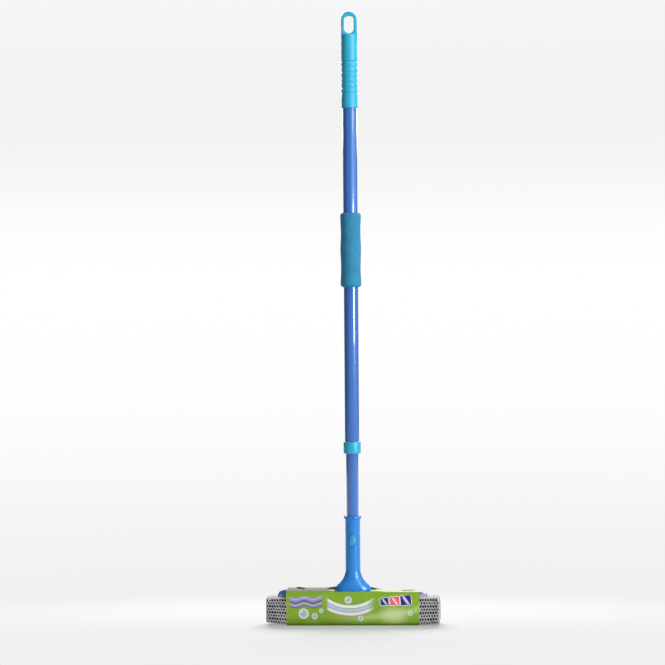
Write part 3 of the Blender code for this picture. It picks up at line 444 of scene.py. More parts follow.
class Surface(Finish):
    """A new material on the Principled shader, with the shader's fixed values set."""

    def __init__(self, name, fixed):
        self.look = bpy.data.materials.new(name)
        self.look.use_nodes = True
        super().__init__(self.look.node_tree)
        self.shader = self.tree.nodes["Principled BSDF"]
        for label, value in fixed.items():
            self.shader.inputs[label].default_value = value

    def finished(self, colour, roughness, height, depth, strength=1.0):
        """The material, with its colour, its roughness and a height of 0 to 1 for so many metres."""
        bump = self.node("ShaderNodeBump", None, {"Height": height, "Distance": depth, "Strength": strength})
        for label, wire in (("Base Color", colour), ("Roughness", roughness), ("Normal", bump)):
            self.tree.links.new(wire.socket, self.shader.inputs[label])
        return self.look


def shade(colour, factor):
    """A colour made darker or lighter."""
    return tuple(min(1.0, channel * factor) for channel in colour[:3]) + (1.0,)


def smooth_share(value, low, high):
    """A smooth step from 0 at low to 1 at high."""
    share = min(max((value - low) / (high - low), 0), 1)
    return share * share * (3 - 2 * share)


def moulded_plastic(name, colour, roughness, grain=0.00004):
    """Moulded polypropylene: faint flow marks, a fine grain and a slightly uneven gloss."""
    surface = Surface(name, {"Specular IOR Level": 0.35})
    flow = surface.noise(26, 3.0, (1, 1, 0.25))
    fine = surface.noise(2600)
    speck = surface.cells(900)
    tint = surface.tint(flow, colour, 0.93, 1.05)
    worn = surface.mix(fine.step(0.55, 0.85) * 0.18, tint, shade(colour, 1.3))
    rough = roughness - 0.05 + flow * 0.06 + fine * 0.05
    return surface.finished(worn, rough, fine * 0.7 + speck * 0.3, grain, 0.6)


def tube_paint(name, colour):
    """Glossy paint on a drawn tube: faint drawing lines, orange peel and a few fine scuffs."""
    surface = Surface(name, {"Specular IOR Level": 0.5, "Coat Weight": 0.8, "Coat Roughness": 0.04})
    drawn = surface.noise(900, 2.0, (1, 1, 0.01))
    peel = surface.noise(420)
    scuff = surface.noise(300, 4.0, (1, 1, 6)).step(0.66, 0.74)
    broad = surface.noise(9, 2.0, (1, 1, 0.6))
    tint = surface.tint(broad, colour, 0.94, 1.06)
    scratched = surface.mix(scuff * 0.12, tint, (0.32, 0.42, 0.62, 1))
    rough = 0.16 + drawn * 0.04 + scuff * 0.12
    return surface.finished(scratched, rough, peel * 0.75 + drawn * 0.25, 0.00006, 0.5)


def closed_cell_foam(name, colour):
    """Foam rubber: tiny closed cells, a dusty bloom and soft broad dents."""
    surface = Surface(name, {"Specular IOR Level": 0.3, "Sheen Weight": 0.04, "Sheen Roughness": 0.6})
    cell = surface.cells(1150)
    pore = surface.cells(520)
    broad = surface.noise(70, 3.0)
    tint = surface.tint(broad, colour, 0.90, 1.08)
    dotted = surface.mix(cell.step(0.25, 0.75) * 0.35, tint, shade(colour, 0.55))
    bloomed = surface.mix(pore.step(0.0, 0.28), shade(colour, 1.35), dotted)
    return surface.finished(bloomed, 0.78 + cell * 0.12, (1 - cell) * 0.6 + broad * 0.4, 0.00035, 0.7)


def knitted_yarn(name, colour, twist):
    """Nylon yarn: fibres laid along it, a twist, and painted shade that darkens it in bands for the hollows
    between the strands.
    """
    surface = Surface(name, {"Specular IOR Level": 0.35, "Sheen Weight": 0.3, "Sheen Roughness": 0.5})
    x, _, z = surface.axes()
    fibre = surface.noise(2400, 3.0, (1, 1, 0.35))
    strand = ((x + z * 0.6) * twist).maths("SINE") * 0.5 + 0.5
    tint = surface.tint(surface.noise(60), colour, 0.86, 1.08)
    # Painted shade: bands along the twist and some fibres are darkened, standing in for the shade between the
    # strands
    shaded = surface.mix(strand * 0.25 + fibre.step(0.5, 0.8) * 0.2, tint, shade(colour, 0.6))
    return surface.finished(shaded, 0.62 + fibre * 0.2, strand * 0.6 + fibre * 0.4, 0.0002, 0.8)


def open_sponge(name):
    """Dark open-cell sponge: pores of two sizes, with painted shade that darkens them towards their middles.
    """
    surface = Surface(name, {"Specular IOR Level": 0.2})
    small = surface.cells(1100)
    pores = surface.cells(420).step(0.1, 0.6) * 0.6 + small.step(0.1, 0.6) * 0.4
    # Painted shade: each pore is darkest at its middle, where its hollow is lowest
    tint = surface.mix(pores, (0.004, 0.004, 0.006, 1), (0.030, 0.030, 0.038, 1))
    return surface.finished(tint, 0.85 + small * 0.1, pores, 0.0006)


def black_rubber(name):
    """Matt black rubber with a bloom of dust and fine mould lines."""
    surface = Surface(name, {"Specular IOR Level": 0.2})
    dust = surface.noise(160, 4.0)
    fine = surface.noise(1800, 2.0, (0.1, 1, 1))
    tint = surface.mix(dust.step(0.45, 0.8) * 0.4, (0.006, 0.006, 0.007, 1), (0.028, 0.027, 0.026, 1))
    return surface.finished(tint, 0.6 + dust * 0.2, fine, 0.00008)


def plated_steel(name):
    """Zinc-plated steel with a fine crystalline mottle."""
    surface = Surface(name, {"Metallic": 1.0})
    mottle = surface.cells(700)
    fine = surface.noise(1600, 3.0)
    tint = surface.mix(mottle.step(0.1, 0.8), (0.50, 0.50, 0.52, 1), (0.62, 0.62, 0.63, 1))
    return surface.finished(tint, 0.24 + fine * 0.2, fine, 0.00004)


def raw_board(name):
    """The card's unprinted side and cut edges: pale pulp with loose fibres."""
    surface = Surface(name, {"Specular IOR Level": 0.2})
    fibre = surface.noise(1500, 4.0, (1, 0.4, 0.4))
    tint = surface.mix(fibre.step(0.35, 0.7), (0.46, 0.45, 0.40, 1), (0.62, 0.61, 0.56, 1))
    return surface.finished(tint, 0.8 + fibre * 0.1, fibre, 0.0001)


class PrintedCard(Surface):
    """Coated card with a generic print, drawn in shader maths on the front and the back panel."""

    def __init__(self, name, colours):
        super().__init__(name, {"Specular IOR Level": 0.35, "Coat Weight": 0.12, "Coat Roughness": 0.22})
        self.colours = colours
        self.right, self.depth, self.up = self.axes()
        self.across = self.right * (1 - (self.depth > 0) * 2)
        # Mask of the painted shade on the top panel's left, which is also made rougher
        self.painted_shade_top_left = (1 - self.right.step(*PAINTED_SHADE_END)) * self.up.step(*TOP_PANEL)
        self.picture = None

    def rounded(self, centre, half, radius, turn):
        """Distance outside a turned rectangle with rounded corners."""
        cosine, sine = math.cos(turn), math.sin(turn)
        right, rise = self.across - centre[0], self.up - centre[1]
        along = abs(right * cosine + rise * sine) - (half[0] - radius)
        over = abs(rise * cosine - right * sine) - (half[1] - radius)
        outside = (along.maths("MAXIMUM", 0.0) ** 2 + over.maths("MAXIMUM", 0.0) ** 2) ** 0.5
        return outside + along.maths("MAXIMUM", over).maths("MINIMUM", 0.0) - radius

    def away(self, across, up, squash=1.0):
        """Distance from a centre."""
        return ((self.across - across) ** 2 + ((self.up - up) * squash) ** 2) ** 0.5

    def between(self, start, end):
        """1 between two places along the card, with soft ends."""
        return self.across.step(*start) * (1 - self.across.step(*end))

    def inside(self, distance, soft=0.0002):
        """1 inside a shape and 0 outside it, with a soft edge."""
        return 1 - distance.step(-soft, soft)

    def disc(self, across, up, radius, soft=0.0002, squash=1.0):
        """1 inside a round or flattened spot."""
        return self.inside(self.away(across, up, squash) - radius, soft)

    def stripe(self, distance, half, soft=0.0002):
        """1 within half a width on both sides of a line."""
        return self.inside(abs(distance) - half, soft)

    def lay(self, cover, ink):
        """Print an ink over the picture where cover is 1."""
        self.picture = self.mix(cover, self.picture, ink)

    def lay_ground(self):
        """Lime ground with painted shade that darkens it towards the lower fold, and a pale mist swept across
        it.
        """
        lime = self.colours.lime
        # Painted shade: the lime darkens to 0.62 of itself towards the rounded lower fold
        self.picture = self.mix(self.up.step(0.002, 0.016), shade(lime, 0.62), shade(lime, 1))
        self.lay(self.noise(34, 3.0, (1, 1, 1.6)).step(0.35, 0.75) * 0.3, shade(lime, 1.35))
        sweep = self.up - 0.012 - (self.across + 0.01) ** 2 * 1.1
        band = self.stripe(sweep, 0.004, 0.006) * self.across.step(-0.045, 0.02)
        self.lay(band * 0.55, (0.56, 0.72, 0.30, 1))
        self.lay(self.disc(0.063, 0.016, 0.018, 0.012, 1.7) * 0.7, (0.66, 0.72, 0.38, 1))

    def lay_sweeps(self):
        """Three arcs, as a blade wipes them on glass, and a thin one below."""
        away = self.away(-0.004, 0.092)
        ends = self.between((-0.042, -0.036), (0.020, 0.036))
        for radius, ink in (
                (0.0625, (0.82, 0.83, 0.86, 1)), (0.0681, (0.55, 0.54, 0.78, 1)),
                (0.0737, (0.78, 0.80, 0.86, 1))):
            self.lay(self.stripe(away - radius, 0.0023, 0.0005) * ends, ink)
        self.lay(self.stripe(away - 0.0792, 0.0006, 0.0004) * ends * 0.8, self.colours.coral)

    def lay_panes(self):
        """Three tilted window panes with a glint across each."""
        for across, up, half, ink in (
                (0.0490, 0.0375, 0.0062, self.colours.navy), (0.0650, 0.0385, 0.0072, self.colours.coral),
                (0.0820, 0.0395, 0.0082, self.colours.navy)):
            edge = self.rounded((across, up), (half, half * 0.92), 0.0016, 0.10)
            self.lay(self.inside(edge - 0.0009), (0.80, 0.80, 0.84, 1))
            self.lay(self.inside(edge), ink)
            slant = (self.across - across) + (self.up - up) * 0.7
            glint = self.stripe(slant, half * 0.28, 0.0006) * self.inside(edge + 0.0012)
            self.lay(glint * 0.75, (0.86, 0.72, 0.76, 1))

    def lay_bubbles(self):
        """Soap bubbles: a pale rim, a tinted inside and a small window of light."""
        for across, up, radius in (
                (-0.0760, 0.0190, 0.0072), (-0.0590, 0.0150, 0.0042), (-0.0490, 0.0235, 0.0031),
                (-0.0070, 0.0400, 0.0050), (0.0120, 0.0115, 0.0036), (0.0885, 0.0195, 0.0034)):
            self.lay(self.disc(across, up, radius) * 0.75, (0.62, 0.70, 0.76, 1))
            core = self.disc(across - radius * 0.15, up + radius * 0.1, radius * 0.62, radius * 0.35)
            self.lay(core * 0.6, self.colours.lilac)
            self.lay(self.stripe(self.away(across, up) - radius, radius * 0.09), (0.80, 0.84, 0.80, 1))
            spark = self.disc(across - radius * 0.4, up + radius * 0.42, radius * 0.2, 0.0003)
            self.lay(spark, (0.88, 0.88, 0.88, 1))

    def lay_waves(self):
        """Water: two lilac waves with a dark crest under each and a pale line on each."""
        swell = (self.across * 230).maths("SINE") * 0.0018
        ends = self.between((-0.099, -0.095), (-0.050, -0.046))
        for up, half in ((0.0415, 0.0034), (0.0325, 0.0022)):
            line = self.up - up - swell
            self.lay(self.stripe(line + half * 0.8, half * 0.7, 0.0003) * ends, (0.045, 0.035, 0.13, 1))
            self.lay(self.stripe(line, half, 0.0004) * ends, self.colours.lilac)
            crest = self.stripe(line - half * 0.35, half * 0.22, 0.0004)
            self.lay(crest * ends * 0.7, (0.66, 0.62, 0.82, 1))

    def lay_panels(self):
        """The top panel, with painted shade in dark khaki on the left and lime on the right, and the plain
        bottom panel.
        """
        lime = self.colours.lime
        pressed = abs(self.right).step(0.018, 0.062) * 0.006
        self.lay((self.up + pressed).step(*TOP_PANEL), shade(lime, 0.95))
        # Painted shade: dark khaki laid over the top panel's left
        self.lay(self.painted_shade_top_left, (0.13, 0.14, 0.095, 1))
        self.lay(1 - self.up.step(*BOTTOM_PANEL), shade(lime, 0.8))

    def printed(self):
        """The finished card: the print with its painted shade, whitened folds and ends, and fibres under the
        coat.
        """
        self.lay_ground()
        self.lay_sweeps()
        self.lay_panes()
        self.lay_bubbles()
        self.lay_waves()
        self.lay_panels()
        fibre = self.noise(1300, 3.0)
        chips = self.noise(420, 4.0)
        fold = (abs(self.depth) - FOLD_DEPTH).step(0.0, 0.0004) * (self.up - FOLD_HEIGHT).step(-0.0004, 0.0)
        ends = (abs(self.across) - CUT_END).step(0.0, 0.0006)
        self.lay((fold * 0.12 + ends * 0.8) * chips.step(0.35, 0.6), (0.74, 0.76, 0.66, 1))
        rough = 0.38 + chips * 0.12 + self.painted_shade_top_left * 0.4
        return self.finished(self.picture, rough, fibre, 0.00005, 0.6)


def select(test):
    """Select the points of the open mesh that pass a test of their place."""
    shape = bmesh.from_edit_mesh(bpy.context.object.data)
    for vertex in shape.verts:
        vertex.select_set(bool(test(vertex.co)))
    shape.select_flush_mode()
    bmesh.update_edit_mesh(bpy.context.object.data)


def open_mesh(obj):
    """Open an object in edit mode with all of it selected."""
    bpy.context.view_layer.objects.active = obj
    bpy.ops.object.mode_set(mode="EDIT")
    bpy.ops.mesh.select_all(action="SELECT")


def close_mesh():
    """Leave edit mode."""
    bpy.ops.object.mode_set(mode="OBJECT")


def add(operator, name, **settings):
    """Add a primitive with nothing else selected, and put its place into its mesh."""
    bpy.ops.object.select_all(action="DESELECT")
    operator(**settings)
    obj = bpy.context.object
    obj.name = name
    obj.data.name = name
    bpy.ops.object.transform_apply(location=True, rotation=True, scale=True)
    return obj


def apply(obj, kind, **settings):
    """Add a modifier and apply it."""
    modifier = obj.modifiers.new(kind.lower(), kind)
    for label, value in settings.items():
        setattr(modifier, label, value)
    bpy.context.view_layer.objects.active = obj
    bpy.ops.object.modifier_apply(modifier=modifier.name)
    return obj


def combine(obj, tool, operation="DIFFERENCE"):
    """Join, cut or keep with a second object, which is used up."""
    apply(obj, "BOOLEAN", operation=operation, solver="EXACT", object=tool, material_mode="TRANSFER")
    bpy.data.objects.remove(tool, do_unlink=True)
    return obj


def rod(name, radius, start, end, sides=48):
    """A round rod between two points."""
    start, end = Vector(start), Vector(end)
    turn = Vector((0, 0, 1)).rotation_difference(end - start).to_euler()
    return add(
        bpy.ops.mesh.primitive_cylinder_add, name, vertices=sides, radius=radius,
        depth=(end - start).length, location=(start + end) / 2, rotation=turn)


def block(name, size, centre, edge=0.0):
    """A block with rounded edges."""
    obj = add(bpy.ops.mesh.primitive_cube_add, name, size=1, location=centre, scale=size)
    if edge:
        apply(obj, "BEVEL", width=edge, segments=3, limit_method="ANGLE")
    return obj


def filleted(points, closed=True, steps=FILLET_STEPS):
    """Round the corners of a flat line of (across, up, radius) points."""
    line = []
    count = len(points)
    for index, (across, up, radius) in enumerate(points):
        here = Vector((across, up))
        ends = not closed and index in (0, count - 1)
        before = Vector(points[index - 1][:2]) - here
        after = Vector(points[(index + 1) % count][:2]) - here
        if ends or radius == 0:
            line.append((across, up))
            continue
        corner = before.angle(after)
        reach = min(radius / math.tan(corner / 2), before.length * CORNER_REACH, after.length * CORNER_REACH)
        start = here + before.normalized() * reach
        end = here + after.normalized() * reach
        first = start.lerp(here, ROUND_HANDLE)
        second = end.lerp(here, ROUND_HANDLE)
        for step in range(steps + 1):
            t = step / steps
            s = 1 - t
            place = start * s ** 3 + first * 3 * s * s * t + second * 3 * s * t * t + end * t ** 3
            line.append((place.x, place.y))
    return line


def stack_rings(name, rings, ends="capped"):
    """Extrude a circle from ring to ring, each (half width, half depth, height), and close it."""
    wide, deep, up = rings[0]
    obj = add(bpy.ops.mesh.primitive_circle_add, name, vertices=SIDES, radius=wide, location=(0, 0, up))
    open_mesh(obj)
    bpy.ops.transform.resize(value=(1, deep / wide, 1), center_override=(0, 0, up))
    for next_wide, next_deep, next_up in rings[1:]:
        bpy.ops.mesh.extrude_region_move(TRANSFORM_OT_translate={"value": (0, 0, next_up - up)})
        if next_wide == 0:
            bpy.ops.mesh.merge(type="CENTER")
            break
        bpy.ops.transform.resize(
            value=(next_wide / wide, next_deep / deep, 1), center_override=(0, 0, next_up))
        wide, deep, up = next_wide, next_deep, next_up
    if ends == "joined":
        bpy.ops.mesh.select_all(action="DESELECT")
        bpy.ops.mesh.select_non_manifold()
        bpy.ops.mesh.bridge_edge_loops()
    else:
        bpy.ops.mesh.select_all(action="SELECT")
        bpy.ops.mesh.fill_holes(sides=0)
    close_mesh()
    return obj


def turned(name, profile, ends="joined"):
    """A round piece from its section of (radius, height) points."""
    return stack_rings(name, [(radius, radius, up) for radius, up in profile], ends)


def trace(name, points):
    """Draw a line by extruding one point to the next, and leave it open for editing."""
    obj = add(bpy.ops.mesh.primitive_plane_add, name, size=STUB, location=points[0])
    open_mesh(obj)
    bpy.ops.mesh.merge(type="CENTER")
    for start, end in zip(points, points[1:]):
        bpy.ops.mesh.extrude_vertices_move(TRANSFORM_OT_translate={"value": Vector(end) - Vector(start)})
    return obj


def draw(name, points, fill=False):
    """Draw a closed outline and leave it open for editing."""
    obj = trace(name, points)
    shape = bmesh.from_edit_mesh(obj.data)
    shape.verts.ensure_lookup_table()
    shape.verts[0].select_set(True)
    bmesh.update_edit_mesh(obj.data)
    bpy.ops.mesh.edge_face_add()
    bpy.ops.mesh.select_all(action="SELECT")
    if fill:
        bpy.ops.mesh.edge_face_add()
    return obj


def plate(name, points, move):
    """A flat outline, filled and extruded."""
    obj = draw(name, points, fill=True)
    bpy.ops.mesh.extrude_region_move(TRANSFORM_OT_translate={"value": move})
    bpy.ops.mesh.select_all(action="SELECT")
    bpy.ops.mesh.normals_make_consistent(inside=False)
    close_mesh()
    return obj


def loft(name, outlines):
    """Bridge a row of closed outlines and close both ends."""
    parts = []
    for outline in outlines:
        parts.append(draw(name, outline))
        close_mesh()
    bpy.ops.object.select_all(action="DESELECT")
    for part in parts:
        part.select_set(True)
    bpy.context.view_layer.objects.active = parts[0]
    bpy.ops.object.join()
    open_mesh(parts[0])
    bpy.ops.mesh.bridge_edge_loops()
    bpy.ops.mesh.select_all(action="SELECT")
    bpy.ops.mesh.fill_holes(sides=0)
    bpy.ops.mesh.normals_make_consistent(inside=False)
    close_mesh()
    return parts[0]


def settle(obj, looks, body, nodes, angle=SMOOTH_ANGLE):
    """Close and smooth a finished piece, dress it and tie it to the frame."""
    open_mesh(obj)
    bpy.ops.mesh.remove_doubles(threshold=MERGE)
    bpy.ops.mesh.normals_make_consistent(inside=False)
    close_mesh()
    bpy.ops.object.select_all(action="DESELECT")
    obj.select_set(True)
    bpy.ops.object.shade_smooth_by_angle(angle=angle)
    if looks:
        obj.data.materials.clear()
        for look in looks:
            obj.data.materials.append(look)
    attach(obj, body)
    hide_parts(*nodes)
    return obj


def dress(node, look):
    """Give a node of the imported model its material."""
    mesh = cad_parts[node].data
    mesh.materials.clear()
    mesh.materials.append(look)


class PieceOperator:
    """What the operators that make pieces share."""

    bl_options = {"REGISTER", "UNDO"}

    def execute(self, context):
        scene = context.scene
        self.make(scene.squeegee_sizes, scene.squeegee_colours)
        return {"FINISHED"}


class SQUEEGEE_OT_tubes(PieceOperator, bpy.types.Operator):
    """Model the two painted tubes of the pole"""

    bl_idname = "squeegee.make_tubes"
    bl_label = "Tubes"

    def make(self, sizes, colours):
        paint = tube_paint("blue_paint", colours.blue_paint)
        for node, body in (("inner_tube", "head"), ("outer_tube", "upper_pole")):
            low, high = LOW[node].z, HIGH[node].z
            radius = HIGH[node].x
            edge = TUBE_WALL * 0.4
            profile = filleted([
                (radius - TUBE_WALL, low, edge), (radius, low, edge), (radius, high, edge),
                (radius - TUBE_WALL, high, edge)], steps=3)
            tube = turned(f"{node}_painted", profile)
            if node == "inner_tube":
                for pin in ("adapter_pin", "plug_pin"):
                    up = (LOW[pin].z + HIGH[pin].z) / 2
                    reach = radius + BEYOND
                    combine(tube, rod("pin_hole", PIN_HOLE_RADIUS, (-reach, 0, up), (reach, 0, up)))
            settle(tube, [paint], body, [node])


class SQUEEGEE_OT_collar(PieceOperator, bpy.types.Operator):
    """Model the collar at the outer tube's lower end"""

    bl_idname = "squeegee.make_collar"
    bl_label = "Tube Collar"

    def make(self, sizes, colours):
        low, high = LOW["tube_collar"].z, HIGH["tube_collar"].z
        radius, edge = HIGH["tube_collar"].x, sizes.edge_radius
        seat = LOW["outer_tube"].z - GAP
        guide = HIGH["inner_tube"].x + GAP
        bore = HIGH["outer_tube"].x + GAP
        profile = filleted([
            (guide, low, edge * 0.5), (radius, low, 3 * edge), (radius, high, 3 * edge),
            (bore, high, edge * 0.4), (bore, seat, 0), (guide, seat, 0)])
        collar = turned("tube_collar_moulded", profile)
        look = moulded_plastic("cyan_collar", colours.cyan, roughness=0.36)
        settle(collar, [look], "upper_pole", ["tube_collar"])


class SQUEEGEE_OT_foam_grip(PieceOperator, bpy.types.Operator):
    """Model the foam hand grip with its two waists"""

    bl_idname = "squeegee.make_foam_grip"
    bl_label = "Foam Grip"

    def make(self, sizes, colours):
        low, high = LOW["foam_grip"].z, HIGH["foam_grip"].z
        radius = HIGH["foam_grip"].x
        bore = HIGH["outer_tube"].x + GAP
        run = high - low - 2 * FOAM_END
        turns = [math.pi / 2 * step / ROUND_STEPS for step in range(ROUND_STEPS + 1)]
        profile = [(bore, low)]
        for angle in turns:
            profile.append((
                radius - FOAM_END + FOAM_END * math.sin(angle), low + FOAM_END * (1 - math.cos(angle))))
        for step in range(1, FOAM_STATIONS):
            share = step / FOAM_STATIONS
            dip = sizes.waist_depth / 2 * (1 - math.cos(4 * math.pi * share))
            profile.append((radius - dip, low + FOAM_END + share * run))
        for angle in turns:
            profile.append((
                radius - FOAM_END + FOAM_END * math.cos(angle), high - FOAM_END * (1 - math.sin(angle))))
        profile.append((bore, high))
        grip = turned("foam_grip_soft", profile)
        open_mesh(grip)
        select(lambda place: math.hypot(place.x, place.y) > bore + MERGE * 10)
        close_mesh()
        outside = grip.vertex_groups.new(name="outside")
        outside.add([v.index for v in grip.data.vertices if v.select], 1.0, "REPLACE")
        dents = bpy.data.textures.new("foam_dents", "CLOUDS")
        dents.noise_scale = 0.012
        apply(grip, "DISPLACE", texture=dents, strength=0.00035, mid_level=0.5, vertex_group="outside",
              texture_coords="LOCAL")
        grip.vertex_groups.clear()
        look = closed_cell_foam("teal_foam", colours.teal_foam)
        settle(grip, [look], "upper_pole", ["foam_grip"], angle=math.radians(50))


class SQUEEGEE_OT_hanger(PieceOperator, bpy.types.Operator):
    """Model the hanger grip with its grooves, flat cheeks and hanging eye"""

    bl_idname = "squeegee.make_hanger"
    bl_label = "Hanger Grip"

    def profile(self, sizes):
        """Section from the bore's blind end, down, out and up to the dome's pole."""
        low, high = LOW["hanger_grip"].z, HIGH["hanger_grip"].z
        radius = HIGH["hanger_grip"].x
        bore = HIGH["outer_tube"].x + GAP
        bore_top = HIGH["outer_tube"].z + GAP
        line = filleted([
            (bore, bore_top, 0), (bore, low, BORE_EDGE), (radius, low, FOOT_EDGE),
            (radius, low + FOOT_HEIGHT, 0)], closed=False)
        for groove in range(GROOVES):
            middle = low + GROOVE_START + groove * GROOVE_PITCH
            for step in range(-GROOVE_STEPS, GROOVE_STEPS + 1):
                share = step / GROOVE_STEPS
                dip = sizes.groove_depth * (0.5 + 0.5 * math.cos(math.pi * share))
                line.append((radius - dip, middle + share * GROOVE_HALF_WIDTH))
        shelf = HIGH["outer_tube"].z + CHEEK_FOOT
        line += [(radius, shelf + rise) for rise in CHEEK_RISES]
        start, run = shelf + CROWN_START, high - radius - shelf - CROWN_START
        line += [(radius, start + step / CROWN_STEPS * run) for step in range(CROWN_STEPS + 1)]
        for step in range(1, DOME_STEPS):
            angle = math.pi / 2 * step / DOME_STEPS
            line.append((radius * math.cos(angle), high - radius + radius * math.sin(angle)))
        return line + [(0, high)]

    def cheek(self, up):
        """Half depth that the crown is pressed to at a height: a shelf with a small hollow."""
        rise = up - HIGH["outer_tube"].z - CHEEK_FOOT
        if rise < -CHEEK_SHELF_EDGE:
            return None
        if rise <= MERGE:
            edge = CHEEK_SHELF_EDGE
            return HIGH["hanger_grip"].x - edge + math.sqrt(max(edge ** 2 - (rise + edge) ** 2, 0))
        left = max(CHEEK_HOLLOW - rise, 0)
        return CHEEK_HALF_DEPTH + CHEEK_HOLLOW - math.sqrt(CHEEK_HOLLOW ** 2 - left ** 2)

    def flatten(self, grip):
        """Press the crown's round sides flat."""
        heights = sorted({round(vertex.co.z, 6) for vertex in grip.data.vertices})
        open_mesh(grip)
        for up in heights:
            cheek = self.cheek(up)
            if cheek is None:
                continue
            for side in (-1, 1):
                select(lambda place: abs(place.z - up) < MERGE * 2 and place.y * side > cheek)
                bpy.ops.transform.resize(value=(1, 0, 1), center_override=(0, side * cheek, up))
        close_mesh()

    def eye_cutter(self):
        """The eye's opening, flaring at both cheeks so that its edges come out rounded."""
        middle = HIGH["hanger_grip"].z - EYE_DROP
        rings = [(-2 * CHEEK_HALF_DEPTH, EYE_EDGE_RADIUS)]
        for step in range(ROUND_STEPS + 1):
            angle = math.pi / 2 * step / ROUND_STEPS
            rings.append((
                -CHEEK_HALF_DEPTH + EYE_EDGE_RADIUS * (1 - math.cos(angle)),
                EYE_EDGE_RADIUS * (1 - math.sin(angle))))
        rings += [(-deep, growth) for deep, growth in reversed(rings)]
        outlines = []
        for deep, growth in rings:
            wide, high = EYE_WIDTH / 2 + growth, EYE_HEIGHT / 2 + growth
            corner = wide - MERGE
            line = filleted([
                (wide, middle - high, corner), (wide, middle + high, corner),
                (-wide, middle + high, corner), (-wide, middle - high, corner)], steps=12)
            outlines.append([(across, deep, up) for across, up in line])
        return loft("eye_cutter", outlines)

    def make(self, sizes, colours):
        grip = turned("hanger_grip_moulded", self.profile(sizes), ends="capped")
        self.flatten(grip)
        combine(grip, self.eye_cutter())
        look = moulded_plastic("cyan_hanger", colours.cyan, roughness=0.40, grain=0.00005)
        settle(grip, [look], "upper_pole", ["hanger_grip"])


def jaw_point(along, across):
    """A place (y, z) in the jaw: along the blade's lean from the web, and square to it."""
    return (
        JAW_START[0] + along * math.cos(LEAN) - across * math.sin(LEAN),
        LOW["head_frame"].z + JAW_START[1] + along * math.sin(LEAN) + across * math.cos(LEAN))


def leaf(growth):
    """Outline (x, z) of the button: round above, with a tip below that leans to the left."""
    wide, high = LEAF_HALF_WIDTH + growth, LEAF_HALF_LENGTH + growth
    tip = -wide * LEAF_TIP_SHARE
    line = []
    for step in range(2 * LEAF_STEPS + 1):
        angle = math.pi * step / (2 * LEAF_STEPS)
        line.append((wide * math.cos(angle), LEAF_HEIGHT + high * math.sin(angle)))
    for step in range(1, 2 * LEAF_STEPS):
        share = step / LEAF_STEPS
        side = -wide if share < 1 else wide
        angle = math.pi / 2 * (share if share < 1 else 2 - share)
        line.append((tip + (side - tip) * math.cos(angle), LEAF_HEIGHT - high * math.sin(angle)))
    return line


